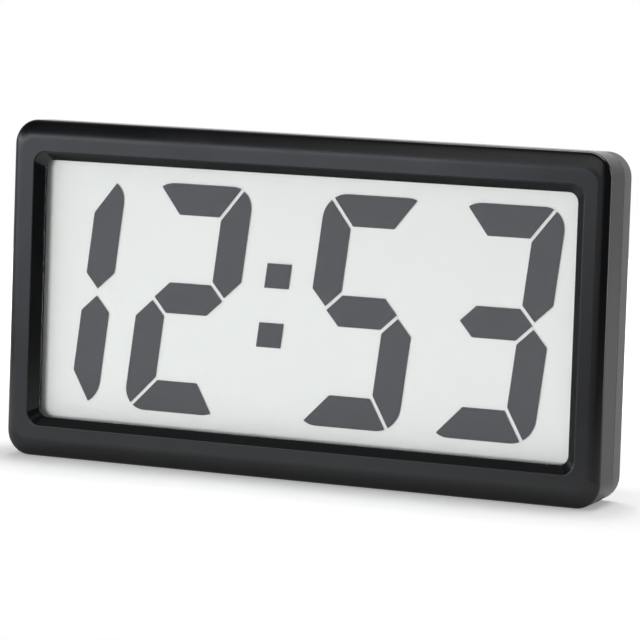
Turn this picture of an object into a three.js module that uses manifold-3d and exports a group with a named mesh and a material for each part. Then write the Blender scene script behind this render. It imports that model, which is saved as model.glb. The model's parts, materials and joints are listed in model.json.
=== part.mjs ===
// Magnetic digital clock: a slim two-part case that leans back on a fold-out foot, with a reflective LCD.
// Millimetres. In the case's own frame X is right, Y runs back from the face and Z runs up the face.
import * as THREE from "three";
import { mergeVertices } from "three/addons/utils/BufferGeometryUtils.js";
import Module from "manifold-3d";

const { degToRad, lerp } = THREE.MathUtils;

// Overall case
const CASE_WIDTH = 145;
const CASE_HEIGHT = 75;
const LEAN = degToRad(4.2);
const SIDE_DRAFT = degToRad(1);
const CORNER_RADIUS = 5.6;
const FIT_GAP = 0.3;

// Front bezel
const BEZEL_DEPTH = 8;
const BEZEL_WALL = 2;
const EDGE_RADIUS = 1;
const EDGE_START = degToRad(30);
const CROWN_SIDE = 2.75;
const CROWN_TOP = 4.25;
const CROWN_DROP = 0.8;
const FACE_BORDER_SIDE = 5.55;
const FACE_BORDER_TOP = 7;
const FACE_CORNER_RADIUS = 3;
const WINDOW_BORDER_SIDE = 7.7;
const WINDOW_BORDER_TOP = 8.8;
const WINDOW_CORNER_RADIUS = 2.2;
const CHAMFER_DEPTH = 1.7;
const FRONT_WALL = 2.2;
const POST_ROOT = 0.8;

// Rear cover
const COVER_STEP = 0.15;
const COVER_WALL = 1.8;
const RIM_DEPTH = 13;
const REAR_RADIUS = 1;
const TONGUE_DEPTH = 1.8;
const TONGUE_WALL = 1;
const PANEL_MARGIN_SIDE = 12;
const PANEL_MARGIN_TOP = 9;
const PANEL_MARGIN_BOTTOM = 10;
const PANEL_CORNER_RADIUS = 7;
const PANEL_SLOPE = 3;
const PANEL_EDGE = 0.8;

// Display
const GLASS_OVERLAP = 1.3;
const POLARISER_THICKNESS = 0.2;
const GLASS_THICKNESS = 0.55;
const REFLECTOR_THICKNESS = 0.2;
const CONTACT_LEDGE = 3.2;
const HOLDER_THICKNESS = 1.25;
const HOLDER_LIP = 0.5;
const SHEET_CORNER = 1;
const STRIP_WIDTH = 2;
const STRIP_END_MARGIN = 8;
const RIB_THICKNESS = 1;
const RIB_LENGTH = 8;

// Circuit board
const BOARD_THICKNESS = 1.2;
const BOARD_HEIGHT = 34.5;
const BOARD_END_MARGIN = 6;
const STAKE_RADIUS = 1;
const STAKE_HEAD_RADIUS = 1.8;
const STAKE_INSET = 3;
const BLOB_RADIUS = 6;
const BLOB_HEIGHT = 1.8;
const CRYSTAL_RADIUS = 1;
const CRYSTAL_LENGTH = 6;
const SWITCH_SIZE = 6;
const SWITCH_HEIGHT = 3.5;
const PLUNGER_RADIUS = 1.7;
const PLUNGER_HEIGHT = 0.6;

// Set buttons
const BUTTON_COUNT = 3;
const BUTTON_PITCH = 9;
const BUTTON_DROP = 4.9;
const BUTTON_RADIUS = 2.5;
const BUTTON_PROUD = 0.2;
const BUTTON_TRAVEL = 0.6;
const BUTTON_TOUCH_GAP = 0.1;
const BUTTON_FLANGE_RADIUS = 3.5;
const BUTTON_FLANGE_THICKNESS = 1;
const BUTTON_STEM_RADIUS = 1.6;
const BUTTON_EDGE = 0.5;

// Battery well, cell and contacts
const CELL_RADIUS = 5.25;
const CELL_LENGTH = 44.5;
const CELL_NUB_RADIUS = 1.9;
const CELL_NUB_LENGTH = 1;
const CELL_EDGE = 0.6;
const CELL_DROP = 21;
const WELL_WALL = 1.5;
const WELL_FRONT_WALL = 1.2;
const WELL_CLEARANCE = 0.55;
const CONTACT_THICKNESS = 0.4;
const CONTACT_WIDTH = 7.6;
const CONTACT_HEIGHT = 9;
const CONTACT_TAB_WIDTH = 3;
const CONTACT_TAB_DROP = 3.2;
const SPRING_LENGTH = 4.2;
const SPRING_TURNS = 3;
const SPRING_WIRE_RADIUS = 0.3;
const SPRING_BIG_RADIUS = 3.6;
const SPRING_SMALL_RADIUS = 2.1;
const LEAD_RADIUS = 0.6;

// Battery door
const DOOR_THICKNESS = 1.5;
const DOOR_TONGUE = 1.6;
const DOOR_TONGUE_THICKNESS = 0.8;
const DOOR_WEB = 1.5;
const GRIP_COUNT = 5;
const GRIP_PITCH = 1.7;
const GRIP_HEIGHT = 0.3;
const GRIP_LENGTH = 14;

// Fold-out foot
const FOOT_WIDTH = 46;
const FOOT_LENGTH = 32;
const FOOT_THICKNESS = 2.2;
const FOOT_CORNER_RADIUS = 6;
const FOOT_HEEL = 1.5;
const FOOT_POCKET_BORDER = 4;
const FOOT_POCKET_DEPTH = 0.9;
const FOOT_NOTCH_RADIUS = 8;
const FOOT_NOTCH_DEPTH = 3;
const HINGE_HEIGHT = 3.4;
const BARREL_RADIUS = 2.2;
const LUG_RADIUS = 2.6;
const LUG_WIDTH = 4;
const LUG_GAP = 0.4;
const PIN_RADIUS = 0.9;

// Magnets and screws
const MAGNET_RADIUS = 6;
const MAGNET_THICKNESS = 2;
const MAGNET_PROUD = 0.5;
const MAGNET_SIDE = 24.5;
const MAGNET_RISE = 21;
const MAGNET_DROP = 21;
const MAGNET_SEAT = 1.5;
const CASE_SCREW_SIDE = 4;
const CASE_SCREW_EDGE = 4.4;
const CASE_POST_RADIUS = 2.1;
const CASE_SCREW_HEAD_RADIUS = 1.8;
const CASE_SCREW_HEAD = 1.2;
const CASE_SCREW_RADIUS = 1;
const CASE_SCREW_LENGTH = 6;
const CASE_HEAD_SINK = 2;
const CASE_SEAT_THICKNESS = 1.2;
const CASE_SEAT_WALL = 0.7;
const HOLDER_SCREW_EDGE = 4.3;
const HOLDER_SCREW_RISE = 18;
const HOLDER_POST_RADIUS = 1.7;
const HOLDER_EAR_RADIUS = 1.9;
const HOLDER_SCREW_HEAD_RADIUS = 1.5;
const HOLDER_SCREW_HEAD = 1;
const HOLDER_SCREW_RADIUS = 0.8;
const HOLDER_SCREW_LENGTH = 4;

// Faceting
const CORNER_STEPS = 8;
const FILLET_STEPS = 5;
const CROWN_STEPS = 4;
const ARC_STEPS = 6;
const ROUND_SIDES = 24;
const SMALL_SIDES = 16;
const WIRE_SIDES = 8;
const SPRING_SIDES = 5;
const SPRING_STEPS = 8;
const CUT_PAST = 5;
const MERGE = 1e-4;

// The bezel's face falls away to its outer edge, which turns from the crown's slope into the sides
const EDGE_INSET = EDGE_RADIUS * (1 - Math.sin(EDGE_START));
const FACE_RIM = CROWN_DROP + EDGE_RADIUS * Math.cos(EDGE_START);

// Depths of the display stack, each piece a fitting gap behind the last
const POLARISER_FRONT = FRONT_WALL + FIT_GAP;
const FRONT_GLASS_FRONT = POLARISER_FRONT + POLARISER_THICKNESS + FIT_GAP;
const REAR_GLASS_FRONT = FRONT_GLASS_FRONT + GLASS_THICKNESS + FIT_GAP;
const REFLECTOR_FRONT = REAR_GLASS_FRONT + GLASS_THICKNESS + FIT_GAP;
const REFLECTOR_BACK = REFLECTOR_FRONT + REFLECTOR_THICKNESS;
const HOLDER_FRONT = REFLECTOR_BACK + FIT_GAP;
const HOLDER_BACK = HOLDER_FRONT + HOLDER_THICKNESS;
const BOARD_FRONT = HOLDER_BACK + FIT_GAP;
const BOARD_BACK = BOARD_FRONT + BOARD_THICKNESS;
const SOLDER_SIDE = BOARD_BACK + FIT_GAP;

// Outline of the glass, whose contact ledge is hidden below the window, and the heights that follow from it
const HALF_WIDTH = CASE_WIDTH / 2;
const GLASS_HALF = HALF_WIDTH - WINDOW_BORDER_SIDE + GLASS_OVERLAP;
const GLASS_TOP = CASE_HEIGHT - WINDOW_BORDER_TOP + GLASS_OVERLAP;
const GLASS_BOTTOM = WINDOW_BORDER_TOP - GLASS_OVERLAP - CONTACT_LEDGE;
const BOARD_HALF = GLASS_HALF - BOARD_END_MARGIN;
const BOARD_BOTTOM = GLASS_BOTTOM + FIT_GAP;
const BOARD_TOP = BOARD_BOTTOM + BOARD_HEIGHT;

// Battery well and door: the cell lies behind the display, and the door behind it sets the case's depth
const WELL_FRONT = REFLECTOR_BACK + FIT_GAP + WELL_FRONT_WALL;
const CELL_Y = WELL_FRONT + FIT_GAP + CELL_RADIUS;
const CELL_Z = CASE_HEIGHT - CELL_DROP;
const DOOR_INNER = CELL_Y + CELL_RADIUS + FIT_GAP;
const CASE_DEPTH = DOOR_INNER + DOOR_THICKNESS;
const GROOVE_BACK = DOOR_INNER;
const GROOVE_FRONT = GROOVE_BACK - DOOR_TONGUE_THICKNESS - 2 * FIT_GAP;
const WELL_BOTTOM = CELL_Z - CELL_RADIUS - WELL_CLEARANCE;
const WELL_TOP = CELL_Z + CELL_RADIUS + WELL_CLEARANCE;
const CONTACT_STACK = 2 * (CONTACT_THICKNESS + 2 * FIT_GAP);
const WELL_HALF = (CELL_LENGTH + SPRING_LENGTH + FIT_GAP + CONTACT_STACK) / 2;
const CONTACT_INNER = WELL_HALF - FIT_GAP - CONTACT_THICKNESS;
const CELL_TIP = CONTACT_INNER - FIT_GAP;
const CELL_TAIL = CELL_TIP - CELL_LENGTH;
const DOOR_HALF = WELL_HALF + FIT_GAP;
const DOOR_NOTCH_HALF = DOOR_HALF + FIT_GAP;
const GROOVE_HALF = DOOR_HALF + DOOR_TONGUE + FIT_GAP;
const WELL_BLOCK_HALF = GROOVE_HALF + WELL_WALL;

// Foot hinge, set so that the folded foot lies flush with the back
const HINGE_Y = CASE_DEPTH - HINGE_HEIGHT;
const HINGE_Z = undersideRise(HINGE_Y) + HINGE_HEIGHT / Math.cos(LEAN);
const RECESS_FLOOR = CASE_DEPTH - FOOT_THICKNESS - FIT_GAP;
const RECESS_HALF = FOOT_WIDTH / 2 + LUG_GAP;
const RECESS_TOP = HINGE_Z + FOOT_LENGTH + LUG_GAP;

// Places of what repeats
const SIDES = [-1, 1];
const CASE_SCREW_X = HALF_WIDTH - CASE_SCREW_SIDE;
const CASE_SCREWS = SIDES.flatMap((side) => [
  [side * CASE_SCREW_X, CASE_SCREW_EDGE + undersideRise(RIM_DEPTH)],
  [side * CASE_SCREW_X, CASE_HEIGHT - CASE_SCREW_EDGE - draftInset(RIM_DEPTH)],
]);
const HOLDER_SCREW_X = HALF_WIDTH - HOLDER_SCREW_EDGE;
const HOLDER_SCREWS = SIDES.flatMap((side) => [
  [side * HOLDER_SCREW_X, HOLDER_SCREW_RISE],
  [side * HOLDER_SCREW_X, CASE_HEIGHT - HOLDER_SCREW_RISE],
]);
const MAGNET_X = HALF_WIDTH - MAGNET_SIDE;
const MAGNETS = SIDES.flatMap((side) => [
  [side * MAGNET_X, MAGNET_RISE],
  [side * MAGNET_X, CASE_HEIGHT - MAGNET_DROP],
]);
const PANEL_INNER = HALF_WIDTH - PANEL_MARGIN_SIDE - PANEL_SLOPE - COVER_WALL;
const BUTTON_ROW = (RECESS_HALF + COVER_WALL + PANEL_INNER) / 2;
const BUTTONS = Array.from({ length: BUTTON_COUNT }, (_, i) => {
  const x = BUTTON_ROW + (i - (BUTTON_COUNT - 1) / 2) * BUTTON_PITCH;
  return [x, BOARD_TOP - BUTTON_DROP];
});
const STAKES = SIDES.flatMap((side) => [
  [side * (BOARD_HALF - STAKE_INSET), BOARD_BOTTOM + CONTACT_LEDGE + STAKE_INSET],
  [side * (BOARD_HALF - STAKE_INSET), BOARD_TOP - STAKE_INSET],
]);
const CASE_SEAT = RIM_DEPTH - CASE_HEAD_SINK;
const CASE_POST_TOP = CASE_SEAT - CASE_SEAT_THICKNESS - FIT_GAP;
const MAGNET_FRONT = CASE_DEPTH + MAGNET_PROUD - MAGNET_THICKNESS;

// Materials
const finish = (color, roughness, metalness = 0) =>
  new THREE.MeshStandardMaterial({ color, roughness, metalness });
const BLACK_ABS = finish(0x303234, 0.45);
const BLACK_BUTTON = finish(0x242628, 0.5);
const FILM = finish(0xe6e9e6, 0.3);
const GLASS = finish(0xdfe6e4, 0.05);
const REFLECTOR = finish(0xe2e5e1, 0.5);
const WHITE_STYRENE = finish(0xe8e8e2, 0.55);
const ELASTOMER = finish(0x2f3030, 0.8);
const BOARD_GREEN = finish(0x2c6b46, 0.5);
const EPOXY = finish(0x121212, 0.35);
const BRIGHT_STEEL = finish(0xc4c7ca, 0.3, 1);
const DARK_STEEL = finish(0x4a4c4f, 0.4, 1);
const NICKEL = finish(0xbdbfc2, 0.25, 1);
const CELL_WRAP = finish(0x39557a, 0.4);
const RED_WIRE = finish(0xb02a24, 0.5);
const BLACK_WIRE = finish(0x1c1c1c, 0.5);

const wasm = await Module();
wasm.setup();

// How far the sides and top draw in, and the underside rises, at a depth behind the bezel's outer edge
function draftInset(depth) {
  return Math.max(0, depth - FACE_RIM) * Math.tan(SIDE_DRAFT);
}
function undersideRise(depth) {
  return Math.max(0, depth - FACE_RIM) * Math.tan(LEAN);
}

// A span of a given half-width about a centre, and a span between two distances out on one side
function about(centre, half) {
  return [centre - half, centre + half];
}
function onSide(side, near, far) {
  return side > 0 ? [near, far] : [-far, -near];
}

// A closed geometry as a solid that can be joined and cut
function solid(geometry) {
  const bare = geometry.clone();
  bare.deleteAttribute("normal");
  bare.deleteAttribute("uv");
  const merged = mergeVertices(bare, MERGE);
  const vertProperties = new Float32Array(merged.attributes.position.array);
  const triVerts = new Uint32Array(merged.index.array);
  return new wasm.Manifold(new wasm.Mesh({ numProp: 3, vertProperties, triVerts }));
}

function joined(...geometries) {
  return geometries.map(solid).reduce((whole, piece) => whole.add(piece));
}

// The first solid with all the geometries cut out of it, as a geometry again
function shaped(whole, cuts = []) {
  const mesh = cuts.reduce((left, cut) => left.subtract(solid(cut)), whole).getMesh();
  const geometry = new THREE.BufferGeometry();
  geometry.setAttribute("position", new THREE.BufferAttribute(mesh.vertProperties, 3));
  geometry.setIndex(new THREE.BufferAttribute(mesh.triVerts, 1));
  geometry.computeVertexNormals();
  return geometry;
}

// A block given by its limits along each axis
function block([x0, x1], [y0, y1], [z0, z1]) {
  const box = new THREE.BoxGeometry(x1 - x0, y1 - y0, z1 - z0);
  return box.translate((x0 + x1) / 2, (y0 + y1) / 2, (z0 + z1) / 2);
}

// A round post along the depth, at a place [x, z] on the face
function post([x, z], radius, [y0, y1], sides = ROUND_SIDES) {
  return new THREE.CylinderGeometry(radius, radius, y1 - y0, sides).translate(x, (y0 + y1) / 2, z);
}

// A round bar across the width
function bar([y, z], radius, [x0, x1], sides = ROUND_SIDES) {
  const rod = new THREE.CylinderGeometry(radius, radius, x1 - x0, sides);
  return rod.rotateZ(Math.PI / 2).translate((x0 + x1) / 2, y, z);
}

// A body turned about the depth axis, from [radius, depth] points, at a place [x, z]
function turned([x, z], profile, sides = ROUND_SIDES) {
  const points = profile.map(([radius, depth]) => new THREE.Vector2(radius, depth));
  return new THREE.LatheGeometry(points, sides).translate(x, 0, z);
}

// A section in depth and height, extruded across the width
function section(shape, [x0, x1]) {
  const run = new THREE.ExtrudeGeometry(shape, { depth: x1 - x0, bevelEnabled: false });
  const [acrossX, alongY, upZ] = [[1, 0, 0], [0, 1, 0], [0, 0, 1]].map((v) => new THREE.Vector3(...v));
  return run.applyMatrix4(new THREE.Matrix4().makeBasis(alongY, upZ, acrossX)).translate(x0, 0, 0);
}

// An upright plate of a given outline between two depths
function plate(outline, [y0, y1]) {
  const settings = { depth: y1 - y0, bevelEnabled: false, curveSegments: ARC_STEPS };
  return new THREE.ExtrudeGeometry(outline, settings).rotateX(Math.PI / 2).translate(0, y1, 0);
}

function polygon(points) {
  return new THREE.Shape(points.map(([u, v]) => new THREE.Vector2(u, v)));
}

// A rounded rectangle by its limits
function roundedOutline([u0, u1], [v0, v1], radius) {
  const outline = new THREE.Shape();
  outline.moveTo(u0 + radius, v0).lineTo(u1 - radius, v0);
  outline.absarc(u1 - radius, v0 + radius, radius, -Math.PI / 2, 0);
  outline.absarc(u1 - radius, v1 - radius, radius, 0, Math.PI / 2);
  outline.absarc(u0 + radius, v1 - radius, radius, Math.PI / 2, Math.PI);
  outline.absarc(u0 + radius, v0 + radius, radius, Math.PI, 1.5 * Math.PI);
  return outline;
}

// One rounded-rectangle ring at a depth, set in from the case's outline by its own distance on each side
function ring({ side, top, bottom, radius, depth }) {
  const right = HALF_WIDTH - side - radius;
  const high = CASE_HEIGHT - top - radius;
  const low = bottom + radius;
  const centres = [[right, high], [-right, high], [-right, low], [right, low]];
  return centres.flatMap(([x, z], corner) =>
    Array.from({ length: CORNER_STEPS + 1 }, (_, i) => {
      const angle = ((corner + i / CORNER_STEPS) * Math.PI) / 2;
      return new THREE.Vector3(x + radius * Math.cos(angle), depth, z + radius * Math.sin(angle));
    }),
  );
}

// A skin through rings of equal count: a frame when it closes on itself, otherwise capped at both ends
function loft(rings, closes) {
  const count = rings[0].length;
  const points = rings.flat();
  const faces = [];
  const bands = closes ? rings.length : rings.length - 1;
  for (let band = 0; band < bands; band++) {
    const here = band * count;
    const next = ((band + 1) % rings.length) * count;
    for (let i = 0; i < count; i++) {
      const j = (i + 1) % count;
      faces.push(here + i, here + j, next + i, here + j, next + j, next + i);
    }
  }
  if (!closes) {
    const last = (rings.length - 1) * count;
    const middles = [rings[0], rings.at(-1)].map((edge) =>
      edge.reduce((sum, p) => sum.add(p), new THREE.Vector3()).divideScalar(count),
    );
    const middle = points.push(...middles) - 2;
    for (let i = 0; i < count; i++) {
      const j = (i + 1) % count;
      faces.push(middle, j, i, middle + 1, last + i, last + j);
    }
  }
  const skin = new THREE.BufferGeometry().setFromPoints(points);
  return skin.setIndex(faces);
}

// The case's outer surface at a depth, drawn in by an extra distance all round
function caseRing(depth, extra = 0, radius = Math.max(CORNER_RADIUS - extra, WINDOW_CORNER_RADIUS)) {
  const inset = draftInset(depth) + extra;
  return ring({ side: inset, top: inset, bottom: undersideRise(depth) + extra, radius, depth });
}

// Quarter-round steps from 0 to 1: [share of the radius turned in, share of it run along]
function quarterRound() {
  return Array.from({ length: FILLET_STEPS + 1 }, (_, i) => {
    const angle = ((i / FILLET_STEPS) * Math.PI) / 2;
    return [1 - Math.cos(angle), Math.sin(angle)];
  });
}

// A rounded-rectangle ring of equal inset above and below
function border(side, top, radius, depth) {
  return ring({ side, top, bottom: top, radius, depth });
}

// The outer edge, from the sides round to the crown's slope
function outerEdge() {
  return Array.from({ length: FILLET_STEPS + 1 }, (_, i) => {
    const tilt = lerp(Math.PI / 2, EDGE_START, i / FILLET_STEPS);
    return caseRing(FACE_RIM - EDGE_RADIUS * Math.cos(tilt), EDGE_RADIUS * (1 - Math.sin(tilt)));
  });
}

// The crown, from the outer edge up to the flat of the face, as a parabola in depth
function crown() {
  return Array.from({ length: CROWN_STEPS }, (_, i) => {
    const rise = (i + 1) / CROWN_STEPS;
    return border(
      lerp(EDGE_INSET, CROWN_SIDE, rise),
      lerp(EDGE_INSET, CROWN_TOP, rise),
      lerp(CORNER_RADIUS - EDGE_INSET, FACE_CORNER_RADIUS, rise),
      CROWN_DROP * (1 - rise) ** 2,
    );
  });
}

// The bezel is one frame lofted round its own wall section, from the parting edge over the face and back
function frontBezel() {
  const frame = loft(
    [
      caseRing(BEZEL_DEPTH),
      ...outerEdge(),
      ...crown(),
      border(FACE_BORDER_SIDE, FACE_BORDER_TOP, FACE_CORNER_RADIUS, 0),
      border(WINDOW_BORDER_SIDE, WINDOW_BORDER_TOP, WINDOW_CORNER_RADIUS, CHAMFER_DEPTH),
      border(WINDOW_BORDER_SIDE, WINDOW_BORDER_TOP, WINDOW_CORNER_RADIUS, FRONT_WALL),
      caseRing(FRONT_WALL, BEZEL_WALL),
      caseRing(BEZEL_DEPTH, BEZEL_WALL),
    ],
    true,
  );
  const root = FRONT_WALL - POST_ROOT;
  const casePosts = CASE_SCREWS.map((at) => post(at, CASE_POST_RADIUS, [root, CASE_POST_TOP]));
  const holderPosts = HOLDER_SCREWS.map((at) => post(at, HOLDER_POST_RADIUS, [root, REFLECTOR_BACK]));
  const casePilot = [CASE_SEAT - CASE_SCREW_LENGTH, CASE_POST_TOP + CUT_PAST];
  const holderPilot = [HOLDER_BACK - HOLDER_SCREW_LENGTH, REFLECTOR_BACK + CUT_PAST];
  const pilots = [
    ...CASE_SCREWS.map((at) => post(at, CASE_SCREW_RADIUS + FIT_GAP, casePilot, SMALL_SIDES)),
    ...HOLDER_SCREWS.map((at) => post(at, HOLDER_SCREW_RADIUS + FIT_GAP, holderPilot, SMALL_SIDES)),
  ];
  return shaped(joined(frame, ...casePosts, ...holderPosts, ...glassRibs(root)), pilots);
}

// Short ribs inside the bezel that locate the glass, two on each edge
function glassRibs(root) {
  const depth = [root, REAR_GLASS_FRONT + GLASS_THICKNESS];
  const outside = GLASS_HALF + FIT_GAP;
  const above = GLASS_TOP + FIT_GAP;
  const below = GLASS_BOTTOM - FIT_GAP;
  const middle = CASE_HEIGHT / 2;
  return SIDES.flatMap((side) => {
    const span = about(side * (GLASS_HALF / 2), RIB_LENGTH / 2);
    const edge = onSide(side, outside, outside + RIB_THICKNESS);
    return [
      block(span, depth, [above, above + RIB_THICKNESS]),
      block(span, depth, [below - RIB_THICKNESS, below]),
      block(edge, depth, about(middle, RIB_LENGTH / 2)),
    ];
  });
}

// The raised back panel's outline at a depth, drawn in by an inset
function panelRing(depth, inset) {
  return ring({
    side: PANEL_MARGIN_SIDE + inset,
    top: PANEL_MARGIN_TOP + inset,
    bottom: PANEL_MARGIN_BOTTOM + inset,
    radius: PANEL_CORNER_RADIUS - inset / 2,
    depth,
  });
}

// Height of the panel's upper slope at a depth
function panelTop(depth) {
  const climb = (depth - RIM_DEPTH) / (CASE_DEPTH - PANEL_EDGE - RIM_DEPTH);
  return CASE_HEIGHT - PANEL_MARGIN_TOP - PANEL_SLOPE * Math.min(1, climb);
}

// The rear cover is a lofted shell from the panel round the rim to the tongue, and back along its inside
function rearCover() {
  const front = BEZEL_DEPTH + FIT_GAP;
  const roundOver = quarterRound().map(([turnedIn, run]) =>
    caseRing(RIM_DEPTH - REAR_RADIUS * (1 - run), COVER_STEP + REAR_RADIUS * turnedIn),
  );
  const tongueOut = BEZEL_WALL + FIT_GAP;
  const tongueIn = tongueOut + TONGUE_WALL;
  const shell = loft(
    [
      panelRing(CASE_DEPTH, PANEL_SLOPE + PANEL_EDGE),
      panelRing(CASE_DEPTH - PANEL_EDGE, PANEL_SLOPE),
      panelRing(RIM_DEPTH, 0),
      ...roundOver.reverse(),
      caseRing(front, COVER_STEP),
      caseRing(front, tongueOut),
      caseRing(BEZEL_DEPTH - TONGUE_DEPTH, tongueOut),
      caseRing(BEZEL_DEPTH - TONGUE_DEPTH, tongueIn),
      caseRing(RIM_DEPTH - COVER_WALL, tongueIn),
      panelRing(RIM_DEPTH - COVER_WALL, COVER_WALL),
      panelRing(CASE_DEPTH - COVER_WALL, PANEL_SLOPE + COVER_WALL),
    ],
    false,
  );
  const whole = joined(shell, ...wellBlocks(), ...coverSeats(), recessBacking(), ...hingeLugs());
  return shaped(whole, [...wellCuts(), ...coverCuts(), ...hingeCuts()]);
}

// Solid stock for the battery well, cut hollow by wellCuts
function wellBlocks() {
  const across = about(0, WELL_BLOCK_HALF);
  const bottom = WELL_BOTTOM - WELL_WALL;
  const front = WELL_FRONT - WELL_FRONT_WALL;
  const top = panelTop(GROOVE_FRONT) - FIT_GAP;
  const back = CASE_DEPTH - COVER_WALL / 2;
  return [
    block(across, [front, GROOVE_FRONT], [bottom, top]),
    block(across, [GROOVE_FRONT - COVER_WALL, back], [bottom, WELL_TOP + WELL_WALL]),
  ];
}

function wellCuts() {
  const past = CASE_HEIGHT + CUT_PAST;
  const doorBottom = WELL_BOTTOM - FIT_GAP;
  const slitHalf = CONTACT_TAB_WIDTH / 2 + FIT_GAP;
  const well = block(about(0, WELL_HALF), [WELL_FRONT, GROOVE_BACK], [WELL_BOTTOM, WELL_TOP]);
  const groove = block(about(0, GROOVE_HALF), [GROOVE_FRONT, GROOVE_BACK], [doorBottom, past]);
  const notch = block(about(0, DOOR_NOTCH_HALF), [GROOVE_FRONT, CASE_DEPTH + CUT_PAST], [doorBottom, past]);
  const slits = SIDES.map((side) => {
    const across = onSide(side, CONTACT_INNER - FIT_GAP, WELL_HALF);
    return block(across, about(CELL_Y, slitHalf), [WELL_BOTTOM - 2 * WELL_WALL, CELL_Z]);
  });
  return [well, groove, notch, ...slits];
}

// Thickened seats under the screw heads and behind the magnets
function coverSeats() {
  const screwSeat = [CASE_SEAT - CASE_SEAT_THICKNESS, RIM_DEPTH - COVER_WALL / 2];
  const magnetSeat = [MAGNET_FRONT - FIT_GAP - MAGNET_SEAT, CASE_DEPTH - COVER_WALL / 2];
  return [
    ...CASE_SCREWS.map((at) => post(at, CASE_POST_RADIUS + CASE_SEAT_WALL, screwSeat)),
    ...MAGNETS.map((at) => post(at, MAGNET_RADIUS + COVER_WALL, magnetSeat)),
  ];
}

function coverCuts() {
  const past = CASE_DEPTH + CUT_PAST;
  const front = BEZEL_DEPTH - TONGUE_DEPTH - CUT_PAST;
  const postRoom = [front, CASE_SEAT - CASE_SEAT_THICKNESS];
  const earRoom = [front, HOLDER_BACK + HOLDER_SCREW_HEAD + 2 * FIT_GAP];
  return [
    ...CASE_SCREWS.flatMap((at) => [
      post(at, CASE_SCREW_HEAD_RADIUS + FIT_GAP, [CASE_SEAT, past]),
      post(at, CASE_SCREW_RADIUS + FIT_GAP, [front, past], SMALL_SIDES),
      post(at, CASE_POST_RADIUS + FIT_GAP, postRoom),
    ]),
    ...HOLDER_SCREWS.map((at) => post(at, HOLDER_EAR_RADIUS + FIT_GAP, earRoom)),
    ...MAGNETS.map((at) => post(at, MAGNET_RADIUS + FIT_GAP, [MAGNET_FRONT - FIT_GAP, past])),
    ...BUTTONS.map((at) => post(at, BUTTON_RADIUS + FIT_GAP, [RIM_DEPTH, past])),
  ];
}

// Backing behind the recess that takes the folded foot
function recessBacking() {
  const depth = [RECESS_FLOOR - COVER_WALL, CASE_DEPTH - COVER_WALL / 2];
  const heights = [PANEL_MARGIN_BOTTOM + PANEL_SLOPE, RECESS_TOP + COVER_WALL];
  return block(about(0, RECESS_HALF + COVER_WALL), depth, heights);
}

function hingeLugs() {
  return SIDES.flatMap((side) => {
    const across = onSide(side, RECESS_HALF, RECESS_HALF + LUG_WIDTH);
    return [
      bar([HINGE_Y, HINGE_Z], LUG_RADIUS, across),
      block(across, [RIM_DEPTH - COVER_WALL / 2, HINGE_Y], about(HINGE_Z, LUG_RADIUS)),
    ];
  });
}

function hingeCuts() {
  const reach = RECESS_HALF + LUG_WIDTH + CUT_PAST;
  const low = undersideRise(CASE_DEPTH) - CUT_PAST;
  return [
    block(about(0, RECESS_HALF), [RECESS_FLOOR, CASE_DEPTH + CUT_PAST], [low, RECESS_TOP]),
    bar([HINGE_Y, HINGE_Z], PIN_RADIUS + FIT_GAP, about(0, reach), SMALL_SIDES),
  ];
}

// A flat sheet of the display, of the glass's outline, or with its lower edge raised to bare the ledge
function displaySheet(front, thickness, raised = 0) {
  return block(about(0, GLASS_HALF), [front, front + thickness], [GLASS_BOTTOM + raised, GLASS_TOP]);
}

function stripLimits() {
  const half = GLASS_HALF - STRIP_END_MARGIN;
  const low = GLASS_BOTTOM + (CONTACT_LEDGE - STRIP_WIDTH) / 2;
  return { across: about(0, half), heights: [low, low + STRIP_WIDTH] };
}

function zebraStrip() {
  const { across, heights } = stripLimits();
  return block(across, [REAR_GLASS_FRONT, BOARD_FRONT - FIT_GAP], heights);
}

// The holder backs the glass, has screw ears at the sides, and carries the board on melted stakes
function lcdHolder() {
  const { across, heights } = stripLimits();
  const depth = [HOLDER_FRONT, HOLDER_BACK];
  const ears = HOLDER_SCREWS.flatMap(([x, z]) => [
    post([x, z], HOLDER_EAR_RADIUS, depth),
    block(onSide(x, 0, HOLDER_SCREW_X), depth, about(z, HOLDER_EAR_RADIUS)),
  ]);
  const stakes = STAKES.flatMap((at) => [
    post(at, STAKE_RADIUS, [HOLDER_FRONT, SOLDER_SIDE + STAKE_RADIUS], SMALL_SIDES),
    post(at, STAKE_HEAD_RADIUS, [SOLDER_SIDE, SOLDER_SIDE + STAKE_RADIUS], SMALL_SIDES),
  ]);
  const upright = [GLASS_BOTTOM - HOLDER_LIP, GLASS_TOP];
  const back = plate(roundedOutline(about(0, GLASS_HALF), upright, SHEET_CORNER), depth);
  const through = [HOLDER_FRONT - CUT_PAST, HOLDER_BACK + CUT_PAST];
  const wellWindow = [WELL_BOTTOM - WELL_WALL - FIT_GAP, panelTop(GROOVE_FRONT)];
  const loosened = ([low, high]) => [low - FIT_GAP, high + FIT_GAP];
  const cuts = [
    block(about(0, WELL_BLOCK_HALF + FIT_GAP), through, wellWindow),
    block(loosened(across), through, loosened(heights)),
    ...HOLDER_SCREWS.map((at) => post(at, HOLDER_SCREW_RADIUS + FIT_GAP, through, SMALL_SIDES)),
  ];
  return shaped(joined(shaped(joined(back, ...ears), cuts), ...stakes));
}

function circuitBoard() {
  const outline = roundedOutline(about(0, BOARD_HALF), [BOARD_BOTTOM, BOARD_TOP], SHEET_CORNER);
  const board = plate(outline, [BOARD_FRONT, BOARD_BACK]);
  const through = [BOARD_FRONT - CUT_PAST, BOARD_BACK + CUT_PAST];
  return shaped(
    solid(board),
    STAKES.map((at) => post(at, STAKE_RADIUS + FIT_GAP, through, SMALL_SIDES)),
  );
}

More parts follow.
